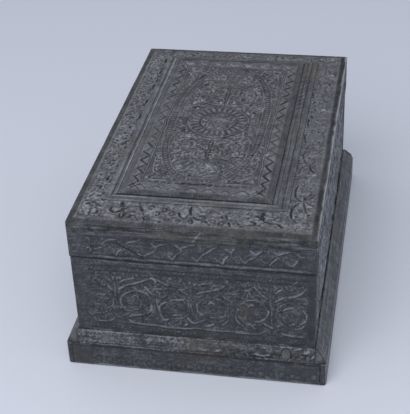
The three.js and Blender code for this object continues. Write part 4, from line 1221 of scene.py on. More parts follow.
# %% Lines of the lid
BEVEL_WIDTH, BEVEL_DROP = 4.6, 1.0
NEAR_BORDER, FAR_WEAR = ((5.4, 5.6), (145.4, 30)), 0.8
BORDER_GROUND_MM = 0.4
BAY_MM, BAYS_TO = 22.0, 222
LID_STEP_MM = 0.47
DEEP, FIRM, FINE, SOFT = (1.3, 1.0, 1.5), (1.0, 0.75, 1.1), (0.7, 0.5, 0.7), (1.8, 0.3, 0.5)
LID_CUTS = (
    (FIRM, (30, 25.4), (29.6, 23.1), (29.8, 21.3), (30.9, 19.5)),
    (FIRM, (30, 25.4), (30.9, 23.1), (31.7, 21), (31.8, 19.5)), (SOFT, (30.6, 23.5), (31, 21)),
    (DEEP, (31.6, 19), (31.4, 17.4)), (FINE, (28.9, 19.2), (30.9, 18.1)),
    (FIRM, (33.4, 19.2), (33.6, 18.1), (32, 17.9)),
    (FINE, (32.3, 18.3), (34.5, 19.9), (37.3, 21.3), (40, 21.7), (42.3, 21.5)),
    (DEEP, (31.1, 17.6), (30.7, 15.8), (29.3, 14.2), (28, 13.5), (26.4, 14), (25.2, 15.4), (24.5, 17.2),
     (25.2, 18.1)), (FIRM, (31.9, 16.7), (33.2, 15.1), (35.2, 13.1)),
    (FIRM, (31.1, 13.1), (31.6, 10.8), (32.7, 7.6)),
    (FIRM, (33, 13.1), (34.1, 11.7), (33.9, 9.9), (32.7, 7.6)), (FINE, (33.2, 12.2), (33.6, 11.8)),
    (SOFT, (22.3, 9.5), (21.8, 6.7)), (SOFT, (25, 11.3), (29.5, 11.3)), (FINE, (38, 17.2), (38.2, 16.6)),
    (FIRM, (39.3, 16), (39.6, 14.9)), (FINE, (39.5, 29), (40.9, 24.9), (42, 22.2)),
    (DEEP, (42, 22.2), (44.8, 16.3)), (FINE, (44.8, 16.3), (46.1, 12.6), (47, 9.5), (47.2, 5)),
    (FIRM, (49.5, 23), (50.1, 22.7)), (SOFT, (55.5, 23.1), (56, 23)), (FINE, (52.7, 17.4), (52.5, 14.9)),
    (FINE, (55, 15.8), (54.5, 13.3), (53.4, 12.4), (52.7, 13.1)), (FINE, (46.2, 16), (46.6, 15.6)),
    (FINE, (48.7, 13.2), (49.1, 12.6)), (FINE, (50, 9.5), (50.9, 7.6)), (FIRM, (56.4, 8.1), (56.4, 5.4)),
    (SOFT, (60, 12.2), (60, 9)), (SOFT, (57.8, 19.9), (60.8, 19.9)), (FIRM, (20.3, 22.2), (20.8, 22.1)),
    (FIRM, (22.8, 21.8), (23.2, 21.6)), (FINE, (40.9, 12.2), (41.8, 8.5), (43.6, 6.3)),
    (SOFT, (72.3, 24.5), (73.4, 20), (74.5, 15.5)), (FIRM, (72.1, 24.5), (73, 20.5), (73.9, 15.5)),
    (FIRM, (72.7, 16.7), (72, 13.1), (71.6, 11.3)),
    (FINE, (74.1, 14), (73.4, 11.3), (73.9, 9), (75.5, 6.7)),
    (FIRM, (74.5, 13.5), (75.7, 11.3), (76.1, 9), (75.5, 6.7)), (SOFT, (74.8, 11.5), (75.1, 8.6)),
    (FIRM, (66.8, 17.6), (67.3, 14.9), (68.6, 13.1), (70, 12.2), (71.6, 12.4)),
    (FIRM, (66.5, 17.6), (66.8, 15.6)), (SOFT, (66, 10.5), (67.5, 8.7), (69.5, 8.9)),
    (SOFT, (67.5, 10.5), (69, 10.5)), (DEEP, (69.6, 12.4), (70.2, 12)),
    (DEEP, (75.9, 14), (77.7, 12.2), (79.1, 11.5), (80, 12)), (FIRM, (80.8, 16.2), (81.5, 15.8)),
    (FINE, (81.5, 15.8), (82.7, 14.9), (83.2, 13.1), (83.4, 10.8)), (DEEP, (83.4, 10.8), (84.8, 9)),
    (FINE, (84.8, 9), (86.8, 5.8)), (SOFT, (81.4, 12), (82.6, 8.6)), (SOFT, (78.5, 19.9), (82.5, 19.9)),
    (FINE, (87.5, 15.9), (87.6, 14.9)), (FINE, (90.7, 21.5), (91, 18.5)), (FIRM, (92.9, 16.6), (93.1, 15)),
    (FINE, (94.5, 18), (95.6, 16.5), (96, 14.5)),
    (FINE, (91.1, 12.2), (91.4, 9.5), (91.8, 6.7), (93.6, 6.3), (93.9, 8.5)),
    (FIRM, (97.7, 10.8), (98.6, 6.3)), (FIRM, (101.3, 13.5), (101.5, 12.7)),
    (FIRM, (116.2, 24), (115.4, 20.2)), (FIRM, (116.2, 24), (117, 20.4)),
    (DEEP, (115.8, 20.5), (115.9, 17.5)),
    (DEEP, (112.5, 19.9), (114.4, 18.3), (116.2, 17.2), (117.5, 14.9)),
    (FIRM, (118, 18.1), (116.2, 17.2), (114.4, 15.4)), (DEEP, (109.5, 13.7), (112.3, 13.3)),
    (DEEP, (112.3, 13.3), (113, 11.6), (112.6, 10.2)), (FIRM, (112.6, 10.2), (108.9, 9), (106.6, 8.3)),
    (FIRM, (106.6, 8.3), (104.4, 6.3)), (FIRM, (108.9, 17.6), (107.8, 15.4)),
    (DEEP, (117.5, 14.6), (120.7, 13.3)), (FIRM, (120.7, 13.3), (123, 12.4), (126.2, 12.6)),
    (DEEP, (126.2, 12.6), (127.5, 11.3), (129.4, 8.5)), (FIRM, (117.4, 12.9), (117.7, 12.3)),
    (FIRM, (115.3, 11.7), (115.7, 9.9)), (FINE, (115.7, 9.9), (117.2, 8), (118.5, 9.5)),
    (SOFT, (123.3, 17), (123.8, 16.3)), (SOFT, (124.6, 20), (128, 19.9)),
    (FINE, (105.1, 10.5), (105.6, 10.3)),
    (FIRM, (132.1, 34), (131.9, 24.5), (132.5, 21.3), (134.4, 18.5), (136.2, 16.7), (137, 15.4)),
    (FINE, (131.4, 17.6), (132.5, 16.7)), (FINE, (133, 13.1), (133, 12.2)),
    (DEEP, (135.3, 22.4), (136.2, 22)), (FIRM, (137.5, 28.2), (137.5, 27)),
    (FIRM, (137.6, 10.3), (138, 9.5)), (FIRM, (136, 7.4), (136.8, 7)),
    (FIRM, (130.1, 37.7), (134.2, 38.6), (137.4, 37.7)), (FIRM, (139.8, 21), (140.6, 20.7)),
    (DEEP, (137.4, 37.7), (134.6, 40.5), (132.8, 44.1), (132.2, 47.7), (132.8, 51.4), (133.5, 55)),
    (FIRM, (138.7, 38.6), (139.2, 42.3), (137.8, 44.5), (136, 44.5)),
    (FIRM, (139.6, 40.5), (140.5, 45), (142.8, 47.3)),
    (FIRM, (142.8, 47.3), (144.5, 46.8), (142.8, 42.3), (140.1, 39.5)), (SOFT, (141, 42), (142.5, 45)),
    (FIRM, (139.6, 37.7), (143.3, 34.7), (144.6, 34.1)),
    (FIRM, (138.7, 36.8), (139.6, 32.3), (141, 27.7), (143.3, 24.1)), (DEEP, (142.6, 24.8), (143.6, 24.1)),
    (FINE, (137, 27.2), (136.4, 29), (137.6, 30.6), (138.8, 29), (138, 27.2)),
    (DEEP, (136, 35.9), (133.7, 33.2), (132.2, 28.6), (132.4, 23.2), (133.7, 19.5)),
    (FIRM, (131.5, 66.4), (129.6, 64.3), (131.2, 62), (133.6, 63.4)), (SOFT, (140.4, 64.1), (141.6, 64.1)),
    (FIRM, (136.5, 66.8), (137.3, 66.4)), (FINE, (135.2, 58), (136.6, 54), (138.4, 57), (136.9, 60)),
    (FIRM, (139.6, 81.4), (135.5, 80), (133.7, 76.8), (132.4, 73.2), (132.2, 69.5)),
    (DEEP, (138.7, 80), (138.9, 75.9), (141, 72.3), (141.9, 70.5)),
    (FINE, (140, 80), (141.4, 76), (143, 73)),
    (FIRM, (138.7, 81.8), (135.1, 83.2), (133.7, 86.8), (132.8, 91.4), (133.3, 95.9), (134.6, 98.2),
     (136, 97.3), (137.8, 94.1)), (FINE, (139.5, 82), (141, 86), (140.5, 90)),
    (FIRM, (139.3, 88.6), (139.6, 87.4)), (FINE, (129.7, 87.6), (130.3, 87)),
    (SOFT, (135, 105), (135.2, 103)), (FIRM, (141.3, 110), (141.8, 109)),
    (FIRM, (132.5, 120), (131.5, 115), (133, 108)),
    (FIRM, (131, 142), (132.4, 137), (131.6, 133), (133, 128)), (FIRM, (136.6, 139.6), (137.6, 138.4)),
    (SOFT, (128.6, 151), (131.4, 150.6)), (DEEP, (134.8, 154.4), (136.2, 152.2)),
    (SOFT, (139, 150.4), (141.4, 150)), (SOFT, (141, 134), (143.5, 134)),
    (FIRM, (144, 132), (144.6, 131.4)), (FIRM, (134, 159.6), (134.8, 158.6)),
    (FIRM, (132, 161), (133, 164), (134, 165.6)), (DEEP, (138.4, 168.6), (142.4, 166)),
    (SOFT, (133, 145), (134.6, 141)), (FIRM, (131, 177), (132.5, 170)), (SOFT, (137, 177), (139, 171)),
    (SOFT, (133.6, 198), (134.8, 191)), (FIRM, (137, 193.6), (139.4, 195.4), (142, 193.6), (141.4, 190.6)),
    (SOFT, (131, 184.6), (135, 184)), (DEEP, (139.4, 213.6), (139.8, 211.6)),
    (DEEP, (143.8, 209.4), (144, 207.4)), (FIRM, (139.6, 201.4), (140.4, 200.4)),
)
LEFT_LEAVES = (
    (16.2, 109.8, 9), (16.4, 90, 5), (16.6, 67.2, 5), (16.7, 49.6, 6), (15.4, 131, 11), (15.2, 152, 9),
    (14.8, 176, 11), (15.3, 200, 10), (15.5, 219, 8), (13.7, 51.6, 4), (9.9, 68.8, 4), (16, 187, 5),
    (11.6, 40.5, 4),
)
LEFT_EYES = (
    (13.5, 30), (13.5, 116), (17.8, 103.6), (13.7, 100.5), (12.1, 92.7), (14.8, 93.6), (13.2, 71.8),
    (13.2, 65.5), (6.6, 36.8), (7.5, 24), (13, 23.2), (20.3, 27.7), (12.8, 136.4), (6.8, 132.5), (11, 127),
    (8, 147), (10, 150), (12.4, 159), (12.6, 180.6), (8.6, 199), (7, 190.6), (16.6, 193), (9, 175),
    (7, 156),
)
LIGHT_RINGS = (
    (13.5, 30, 2.7), (13.5, 116, 3), (8.9, 55, 2.5), (9, 21, 2.4), (136.9, 55.9, 2), (136.9, 88.6, 2),
    (138, 195, 2.8), (8, 84, 2.6), (11.4, 180, 2.6), (12, 206, 2.2),
)
LEFT_RIBS = (
    ((15.3, 56), (15.7, 47.7), (13, 42.3), (10.7, 37.7)), ((5.7, 97), (10.3, 95.2), (13, 97)),
    ((5.5, 93), (10.3, 92.7)), ((6, 101), (10, 98.6), (12, 99)), ((10, 88), (13, 84), (17, 82)),
    ((13, 78), (17, 80)), ((9, 80), (12, 77), (16, 76)), ((5.7, 137), (9, 141), (13, 141)),
    ((6, 128), (9, 133)), ((12, 190), (13.6, 184), (13, 196)),
)
BRIGHT_CHIPS = (
    (141.9, 68.5), (143, 32.3), (141.6, 207.4), (12.4, 206), (140.6, 153.8), (130.4, 126),
)
BORDERS = (
    ((5.4, 6), (18.8, 235.6), 1.0, 72), ((128.8, 30), (145.4, 235.6), 0.5, 116),
    ((6, 226.5), (145.4, 235.6), 0.7, 222),
)
NEAR_CURLS = (
    (52.5, 15, 2.4), (48, 10, 2), (15, 13, 3), (9, 20, 2.6), (142, 14, 2.6), (18, 8.5, 2), (62.5, 16, 2.2),
    (88, 11, 2), (97, 19, 2.4), (102, 9, 2.2), (38.6, 10, 2), (93.5, 9.5, 2), (60.5, 10, 1.8),
    (95, 15, 1.8), (21, 13, 2), (123, 20, 2), (109, 21, 2), (126, 17, 2.2), (49, 21, 1.8), (57, 20, 2),
    (137, 20, 2), (86, 20, 2),
)
NEAR_LIGHTS = (
    (28, 16.8, 1.5), (33.4, 15.6, 0.7), (69.5, 14.7, 1.1), (79.8, 17.4, 1.5), (84.1, 11.8, 0.8),
    (89, 18.3, 0.9), (49.4, 17, 1.2), (121.7, 8, 1), (119, 17.5, 1.3), (121.5, 18, 1.5), (112.5, 16.5, 1.5),
    (103.5, 6, 0.6),
)


def border_bays(sheet, middle, start, end, reach):
    """Curls and fans of leaves along a border that runs in v, turned over from bay to bay."""
    for k, v in enumerate(np.arange(start, end, BAY_MM)):
        hand = 1 if k % 2 else -1
        centre = np.array((middle + 0.18 * reach * hand, v + BAY_MM * 0.3))
        sheet.rib(ring(centre, 0.72 * reach, 90 * hand, 420 * hand, 0.25 * reach, 30), 0.85, 0.0, shine=0.3)
        bends = np.array([(0, 0.7), (-hand, 0), (-hand, 0), (0.3 * hand, -0.7)]) * reach
        bends[:, 1] += (0, 6, 9, BAY_MM)
        sheet.rib(curve(*(centre + bends)), 0.8, 0.0, shine=0.3)
        for j in range(5):
            angle = math.radians(90 - 90 * hand + 40 * (j - 2))
            way = np.array([-math.cos(angle), math.sin(angle)])
            root = centre + (0, 0.55 * BAY_MM)
            sheet.rib(bow(root + 1.4 * way, root + 5.2 * way, 0.1 * hand), 0.95, 0.0, "leaf", 0.35)


def sink_borders(sheet):
    """The ground of the side and far borders, with their curls, their leaves and a scatter of small cuts."""
    for low, high, bold, bays_from in BORDERS:
        field = np.add(low, 1), np.subtract(high, 1)
        sheet.sink(low, high, BORDER_GROUND_MM * bold, (1.0, 6.0))
        border_bays(sheet, (low[0] + high[0]) / 2, bays_from, BAYS_TO, (high[0] - low[0]) * 0.45)
        if bold == 1:
            for points in LEFT_RIBS:
                sheet.rib(smooth(points), 0.85, 0.0, "stroke", 0.7)
        sheet.strew(*field, 1200, 3, 4.0, 1.2, clear=0.8, strength=0.55 * bold)
        sheet.strew(*field, 700, 4, 3.2, 0.9, depth=0.45 * bold, clear=0.4, strength=0.8 * bold)
    for u, v, radius in LIGHT_RINGS:
        sheet.rib(ring((u, v), radius, count=20), 0.8, 0.0, shine=0.6)
        sheet.cut([(u - 0.3, v), (u + 0.3, v)], 0.9, 0.5, dirt=0.8)


def fill_near_border(sheet):
    """Between the lilies of the near border: curls, pale spots, and a rough and patchy ground."""
    for k, (u, v, radius) in enumerate(NEAR_CURLS):
        sheet.cut(ring((u, v), radius, 70 * k, 300, 0.6 * radius, 20), 0.85, 0.4, dirt=0.7)
    for u, v, radius in NEAR_LIGHTS:
        sheet.paint([(u - 0.2, v), (u + 0.2, v)], radius, 0.8)
    near_border = sheet.share(*NEAR_BORDER, (3, 8))
    lumps = lattice_noise(sheet.flat, 1.9, 57) + 0.7 * lattice_noise(sheet.flat, 1.2, 54)
    sheet.tone += near_border * (0.3 * lattice_noise(sheet.flat, 4, 56) + 0.45 * lumps + 0.15)
    sheet.height += 0.1 * near_border * (lumps - 1)


def lid_sheet(spans):
    sheet = Sheet(spans, LID_STEP_MM)
    sink_borders(sheet)
    fill_near_border(sheet)
    for u, v, length in LEFT_LEAVES:
        sheet.cut(bow((u - 0.6, v - length / 2), (u + 0.5, v + length / 2), -0.12), 1.2, 0.9, "leaf", 1.1)
    for u, v in LEFT_EYES:
        sheet.cut(bow((u - 0.9, v - 0.9), (u + 0.9, v + 1.0), 0.3), 1.2, 0.8, "bud", 0.9)
    for (half_width, depth, dirt), *points in LID_CUTS:
        worn = FAR_WEAR if points[0][1] > NEAR_BORDER[1][1] else 1
        sheet.cut(smooth(points), half_width * worn, depth * worn, "stroke", dirt * worn)
    for u, v in BRIGHT_CHIPS:
        sheet.paint([(u - 0.4, v), (u + 0.4, v)], 1.1, 1.7)
    inset = sheet.inset()
    sheet.height -= BEVEL_DROP * np.clip(1 - inset / BEVEL_WIDTH, 0, 1)
    sheet.tone -= 0.85 * np.clip(BEVEL_WIDTH + 0.3 - inset, 0, 1)
    # Pale line along the upper arris of the left bevel: wear and a painted highlight.
    sheet.paint([(BEVEL_WIDTH + 0.4, 60), (BEVEL_WIDTH + 0.4, spans[1] - 8)], 0.7, 0.5)
    sheet.paint([(spans[0] - 2.8, 0), (spans[0] - 2.8, spans[1])], 2.2, -0.4)
    # Painted highlight along the right arris of the top.
    sheet.paint([(spans[0] - 0.3, 0), (spans[0] - 0.3, spans[1])], 1.6, 2.2)
    sheet.paint([(75, BEVEL_WIDTH), (spans[0] - BEVEL_WIDTH, BEVEL_WIDTH)], 0.9, 0.5, "bare")
    sheet.age(53, 0.35)
    return sheet


print("gouge cuts on the lid:", len(LID_CUTS))

# %% [markdown]
# The edges of the board tell more than its bevel. At the near end one sees plane marks, a pale patch at the
# left, a slanting scratch in the middle and a brown patch beside it. The long sides get painted highlights
# along the top and the bottom, with slanting dark bars between.

# %% Lid board
LID_SPANS = face_frame("lid_board", "top")[2]
UNDER_THE_FRAME = ((19.5, 27.5), (128.5, 223.5))
PALE_PATCH = ((19, 5), (-6.5, 2.2))
BROWN_PATCH, BROWN_ARRIS, BROWN_FROM = ((64, 10), (-6, 2.5)), (-0.8, 0.8), 77
LID_SCRATCH, SCRATCH_SLOPE = (79.4, 0.5), 0.7
SIDE_HIGHLIGHTS = ((2.2, -1.6, 0.9), (1.6, -8.2, 0.6))
BAR_PITCH, BAR_SLOPE = 6.1, 1.1


def hill(x, middle, width):
    """1 at a middle place, and less to both sides of it."""
    return np.exp(-((x - middle) / width) ** 2)


def lid_edge_wear_and_highlights(points, on_edge):
    """The added tone and bareness at points (u, v, w) of the lid board's edges."""
    u, v, w = points.T
    near_end, far_end = on_edge & (v < 0.01), on_edge & (v > LID_SPANS[1] - 0.1)
    long_side = on_edge & (u > LID_SPANS[0] - 0.2) & ~near_end
    blobs = lattice_noise(points, 1.9, 59)
    marks, scratches = streaks(u + v, w, 16, 0.75, 58), streaks(u + v, w, 6, 0.4, 61)
    tone = np.where(on_edge, 0.55 * marks + 0.25 * blobs + 0.45 * scratches, 0)
    tone -= np.where(near_end | far_end, 0.85, 0)
    tone += np.where(near_end, 1.3 * blobs * hill(u, *PALE_PATCH[0]) * hill(w, *PALE_PATCH[1]), 0)
    tone += np.where(near_end, 1.5 * hill(u - SCRATCH_SLOPE * (w + 6), *LID_SCRATCH), 0)
    slant = np.sin((v - BAR_SLOPE * w) * 2 * math.pi / BAR_PITCH + 2.2 * lattice_noise(points, 9, 60))
    bars = 2.2 * np.clip(slant - 0.3, 0, 1)
    tone += np.where(long_side, 0.1 + lattice_noise(points, 3.2, 55) - bars, 0)
    # Painted highlights along the top and the bottom of the long sides.
    for amount, middle, width in SIDE_HIGHLIGHTS:
        tone += np.where(long_side, amount * hill(w, middle, width), 0)
    bare = np.where(near_end, 0.5 * hill(u, *BROWN_PATCH[0]) * hill(w, *BROWN_PATCH[1]), 0)
    bare += np.where(near_end & (u > BROWN_FROM), 0.7 * hill(w, *BROWN_ARRIS), 0)
    return tone, bare


mesh = board("lid_board_carved", "lid_board", "top", lid_sheet(LID_SPANS), radius=0.7, edge_drop=BEVEL_DROP,
             edge_lines=0.16, edge_step=0.8, seed=51, hidden=UNDER_THE_FRAME, gains=(1.7, 0.2),
             edge_wear=lid_edge_wear_and_highlights)
wear_corners(mesh, LID_REACH, LID_CORNER_MM)
finish_piece(mesh, top_wood, "lid", ["lid_board"])

# %% [markdown]
# ## The frame round the panel
# Four flat strips with mitred corners lie round the raised panel. They are thin, so only their top is
# worked: a few lines along each, a row of slanted nicks on the right one, and at the foot of the panel a
# shallow gap painted black as its shadow.

# %% Frame strips
GLUE_MM = 0.1
PANEL_LOW, PANEL_HIGH = node_box("lid_panel")
FRAME_NEIGHBOURS = {"front": ("left", "right"), "right": ("front", "back"), "back": ("right", "left"),
                    "left": ("back", "front")}
FRAME_LINES = {
    # The darkest front line is a painted shadow in the shallow gap at the foot of the panel.
    "front": ((0.9, 1.5, -3.0), (3.0, 1.1, 0.4), (5.4, 0.5, -0.5)),
    "back": ((0.6, 0.8, -1.0), (2.6, 0.6, -0.3)),
    "left": ((1.3, 0.8, 0.6), (3.4, 0.6, -0.7), (5.2, 0.9, 0.3)),
    "right": ((0.8, 0.9, -1.0), (3.6, 0.5, -0.4), (6.8, 0.6, -0.8), (9.2, 0.6, 0.3)),
}
FRAME_NICKS = np.arange(118, 166, 5.8)
BROWN_ON_FRAME, BARE_ARRIS = (71, 99), (73, 95)


def strip_width(side):
    low, high = node_box(f"lid_frame_{side}")
    return (high - low)[1 if side in ENDS else 0]


def frame_strip(side):
    node = f"lid_frame_{side}"
    low, high = node_box(node)
    along, up = np.array(SIDES[side], float)
    out = np.cross(along, up)
    width, before, after = map(strip_width, (side, *FRAME_NEIGHBOURS[side]))
    thickness = high[2] - low[2]
    inner = {"front": high[1], "back": low[1], "left": high[0], "right": low[0]}[side]
    corner = np.where(np.abs(out) > 0.5, inner, [*(PANEL_LOW + PANEL_HIGH)[:2] / 2, low[2]])
    half = abs((PANEL_HIGH - PANEL_LOW) @ along) / 2 + GLUE_MM / 2

    def ends(reach, _):
        return -half - reach * before / width, half + reach * after / width

    def carve(sheet):
        total = sheet.v[-1]
        for from_panel, half_width, amount in FRAME_LINES[side]:
            line = sheet.all_along(total - from_panel)
            sheet.paint(line, half_width, amount)
            sheet.cut(line, half_width, 0.2 if amount < 0 else 0)
        if side == "right":
            sheet.tone -= 0.25
            for u in FRAME_NICKS:
                sheet.cut(bow((u, total - 1.8), (u + 3.4, total - 6.0), 0.1), 0.8, 0.4, "leaf", 1.0)
            sheet.band((BROWN_ON_FRAME[0], 0), (BROWN_ON_FRAME[1], total), 0.15, (10, 1), "bare")
            sheet.paint([(u, total - 0.4) for u in BARE_ARRIS], 0.8, 1.2, "bare")

    run = [(width, 0), (width, thickness), (0, thickness), (0, GLUE_MM / 2)]
    axes = np.array([along, out, up])
    mesh = strip(f"{node}_moulded", run, [(0, 0)], ends, corner, axes, 2 * half, carve, 0.08, softened=1,
                 seed=61)
    finish_piece(mesh, frame_wood["X" if side in ENDS else "Y"], "lid", [node])


for side in FRAME_NEIGHBOURS:
    frame_strip(side)
print("widths of the frame:", {side: round(float(strip_width(side)), 1) for side in FRAME_NEIGHBOURS})

# %% [markdown]
# ## The raised panel
# The panel has sloping edges streaked with dirt, a band with a zigzag cut into it, a line frame, and inside
# it a long oval with rungs like a ladder, a round rosette of flutes in the middle, and scrolls with a stem
# above and below it. The field between them is filled with small leaves that wear has run together. The big
# shapes are drawn on the sheet and the repeats are grown. No back ring is needed, because the board under
# the panel hides it.

# %% Panel carving
PANEL_STEP_MM = 0.44
SLOPE_WIDTH, SLOPE_DROP = 4.6, 1.2
FIELD_LOW, FIELD_HIGH, FIELD_GROUND_MM = (13.4, 17.6), (83.0, 173.6), 0.5
MIDDLE = (47.4, 94.0)
ROSETTE_RADII = (11.5, 20.6)
OVAL_HALF, OVAL_POWER, OVAL_BAND = (33.6, 78.0), 2.5, 5.0
ZIGZAG_PITCH, ZIGZAG_SWING = 10.4, 2.3
ZIGZAG_SIDES = (8.4, 88.4)
HUMP_PLACES = (12, 22.6, 33.8, 45.2, 55.6, 66, 76.4, 86)
HUMP_ROWS = ((6.0, 1, 0.45), (179.5, -1, 0.8))
NEAR_ROW, DARKEST_OF_ROW = np.arange(12, 76, 4.2), (36, 56)
FAR_SHADOWS = (8, 29, 54, 75, 87)
NEAR_CROSSES = ((9.5, 8), (87.5, 8))
CORNER_SPRIGS = (((1.6, 26), (3.4, 8.5), (15, 2.4)), ((1.6, 19), (3.4, 8.5), (11, 2.4)))
EYES = (
    (29.2, 66.5), (34.2, 67.5), (54.2, 63.5), (64.2, 66.5), (70.2, 65.5), (40, 58), (60.5, 57.5), (26, 80),
    (69, 79), (27, 112), (70, 108), (34.9, 118), (60, 126), (36, 134), (57, 136), (43, 142), (56, 150),
    (28, 98), (68, 92), (76, 52), (31, 128), (41, 130), (33, 139), (30, 146), (66, 118), (63, 132),
)
LIGHT_PLACES = (
    (50, 35, 3, 0.4), (31.5, 72.6, 2.4, 1.0), (36, 72, 1.6, 0.9), (32.7, 58.7, 2.2, 0.9), (26, 47, 2, 0.7),
    (56, 58, 3, 0.5), (62, 118, 3, 0.6), (49, 92, 7, 0.35), (26.5, 118.3, 1.5, 1.8),
    (31.5, 122.7, 1.6, 1.8), (30.4, 110, 1.3, 1.8), (29, 121, 3.4, 0.7), (44, 121, 3, 0.5),
    (55, 117, 2.6, 0.7), (30, 106, 2, 0.8), (85.8, 54, 1.0, 3.2), (36, 139, 2, 0.6), (41, 146, 3, 0.5),
    (26, 100, 3, 0.4),
)
SCROLL_LEAVES = (
    ((21, 12), (27, 24), 2.0), ((24, 4), (28, 15), 1.8), ((11, 52), (19, 58), 1.7), ((6, 56), (10, 66), 1.7),
    ((3, 62), (4, 71), 1.4), ((23, 40), (26, 28), 1.7),
)
ZIGZAG_STROKES = (
    (8.4, 1, 46, 62), (8.4, -1, 130, 175), (88.4, 1, 20, 40), (88.4, -1, 96, 172),
)


def oval(half, count=150):
    """A full oval, a little squarer than an ellipse."""
    angle = np.linspace(0, 2 * math.pi, count, endpoint=False)
    c, s = np.cos(angle), np.sin(angle)
    return np.stack([middle + reach * np.sign(part) * np.abs(part) ** (2 / OVAL_POWER)
                     for middle, reach, part in zip(MIDDLE, half, (c, s))], axis=1)


def zigzag(start, end, pitch, swing, seed):
    """A zigzag line cut by eye from start to end, with its points to either side by turns."""
    start, end = np.array(start, float), np.array(end, float)
    length = np.linalg.norm(end - start)
    way = (end - start) / length
    side = np.array([-way[1], way[0]])
    count = round(2 * length / pitch)
    slips = np.random.default_rng(seed).uniform(-0.9, 0.9, (count + 1, 2))
    line = []
    for k, (slip_along, slip_across) in enumerate(slips):
        hand = 1 - 2 * (k % 2)
        along = length * k / count + slip_along
        line.append(start + way * along + side * (swing * hand + 0.6 * slip_across))
    return line


def scrolls(sheet, up):
    """Two scrolls and a double stem over (up is 1) or under (up is -1) the rosette."""
    def p(du, dv):
        return np.array([MIDDLE[0] + du, MIDDLE[1] + up * dv])

    def way_at(angle):
        return np.array([math.cos(math.radians(angle)), math.sin(math.radians(angle))])

    for hand in (-1, 1):
        centre = p(16.0 * hand, 33)
        turn = -340 * hand * up
        stem = curve(p(1.2 * hand, 24), p(5 * hand, 22.5), p(9 * hand, 23), p(13 * hand, 25))
        tail = curve(p(1.5 * hand, 46), p(8 * hand, 47), p(15 * hand, 47), p(21 * hand, 52))
        sheet.rib(ring(centre, 10.0, 90 * up - 60 * hand * up, turn, 3.2, 40), 1.3, 0.0, shine=0.5)
        sheet.rib(stem, 1.1, 0.0, shine=0.5)
        sheet.flower(centre, 3.6, 5, 0.0, 0.3, 0.5)
        for angle in range(0, 360, 45):
            root, tip = centre + 5.4 * way_at(angle), centre + 8.8 * way_at(angle + 25)
            sheet.rib(bow(root, tip, 0.2), 1.3, 0.0, "leaf", 0.5)
        sheet.rib(tail, 1.1, 0.0, "tail", 0.5)
        for root, tip, width in SCROLL_LEAVES:
            root, tip = p(root[0] * hand, root[1]), p(tip[0] * hand, tip[1])
            sheet.leaf(root, tip, width, 0.0, 0.15 * hand, shine=0.5)
        sheet.cut([p(0.2 + 0.9 * hand, 25), p(0.2 + 0.9 * hand, 50)], 0.5, 0.5, dirt=0.6)
    for angle in range(-70, 71, 20):
        way = np.array([math.sin(math.radians(angle)), up * math.cos(math.radians(angle))])
        sheet.leaf(p(0, 49) + 3 * way, p(0, 49) + 9 * way, 1.5, 0.0, 0, 0.3, 0.5)


def panel_sheet(spans):
    sheet = Sheet(spans, PANEL_STEP_MM)
    sheet.sink(FIELD_LOW, FIELD_HIGH, FIELD_GROUND_MM, (0.8, 0.8))
    band = oval(np.subtract(OVAL_HALF, OVAL_BAND / 2))
    band_line = np.concatenate([band, band[:1]])
    sheet.rib(band_line, OVAL_BAND / 2, -0.4)
    sheet.paint(band_line, OVAL_BAND / 2, -0.15)
    flute_ring = ring(MIDDLE, sum(ROSETTE_RADII) / 2, count=60)
    sheet.rib(flute_ring, 4.8, -0.4)
    sheet.paint(flute_ring, 4.4, -0.45)
    for half in (OVAL_HALF, np.subtract(OVAL_HALF, OVAL_BAND)):
        line = oval(half)
        sheet.rib(np.concatenate([line, line[:1]]), 0.6, -0.05, shine=0.35)
    for radius in ROSETTE_RADII:
        sheet.rib(ring(MIDDLE, radius, count=60), 0.5, -0.1, shine=0.2)
        sheet.cut(ring(MIDDLE, radius + 0.9, count=60), 0.55, 0.3, dirt=0.35)
    sheet.paint(band[8:30], 2.4, -0.6)
    sheet.cut(oval(OVAL_HALF)[52:72], 0.9, 0.4, dirt=0.8)
    sheet.flower(np.array(MIDDLE), 8.4, 10, 0.0, 0.2, 0.4)
    sheet.rib(ring((52, 150.5), 8.6, count=50), 1.2, -0.1, shine=0.5)
    for up in (1, -1):
        scrolls(sheet, up)
    for su in (0, 1):
        for sv in (0, 1):
            corner = np.array([(FIELD_LOW, FIELD_HIGH)[su][0], (FIELD_LOW, FIELD_HIGH)[sv][1]])
            way = np.array([1 - 2 * su, 1 - 2 * sv])
            for sprig in CORNER_SPRIGS:
                sheet.rib([corner + way * place for place in sprig], 0.6, -0.05, shine=0.6)
            sheet.leaf(corner + way * (1.8, 2.5), corner + way * (4.2, 8.5), 1.5, 0.0, shine=0.5)
    field = np.add(FIELD_LOW, 1), np.subtract(FIELD_HIGH, 1)
    sheet.strew(*field, 3600, 8, 4.0, 1.5, clear=0.9, strength=0.75)
    sheet.strew(*field, 2400, 9, 2.8, 1.1, top=-0.1, clear=0.6, strength=0.6)
    sheet.strew(*field, 500, 10, 3.2, 0.8, depth=0.4, clear=0.35, strength=0.6)
    in_field = sheet.share(FIELD_LOW, FIELD_HIGH, (2, 2))
    sheet.tone += in_field * (0.25 * lattice_noise(sheet.flat, 6, 74) - 0.3)
    for u, v in EYES:
        sheet.cut(bow((u - 1.2, v - 0.6), (u + 1.2, v + 0.7), 0.3), 1.5, 0.8, "bud", 1.0)
    for u, v, radius, amount in LIGHT_PLACES:
        sheet.paint([(u - 0.3, v), (u + 0.3, v + 0.3)], radius, amount)
    frame_lines(sheet)
    slope(sheet)
    sheet.age(73, 0.4)
    return sheet


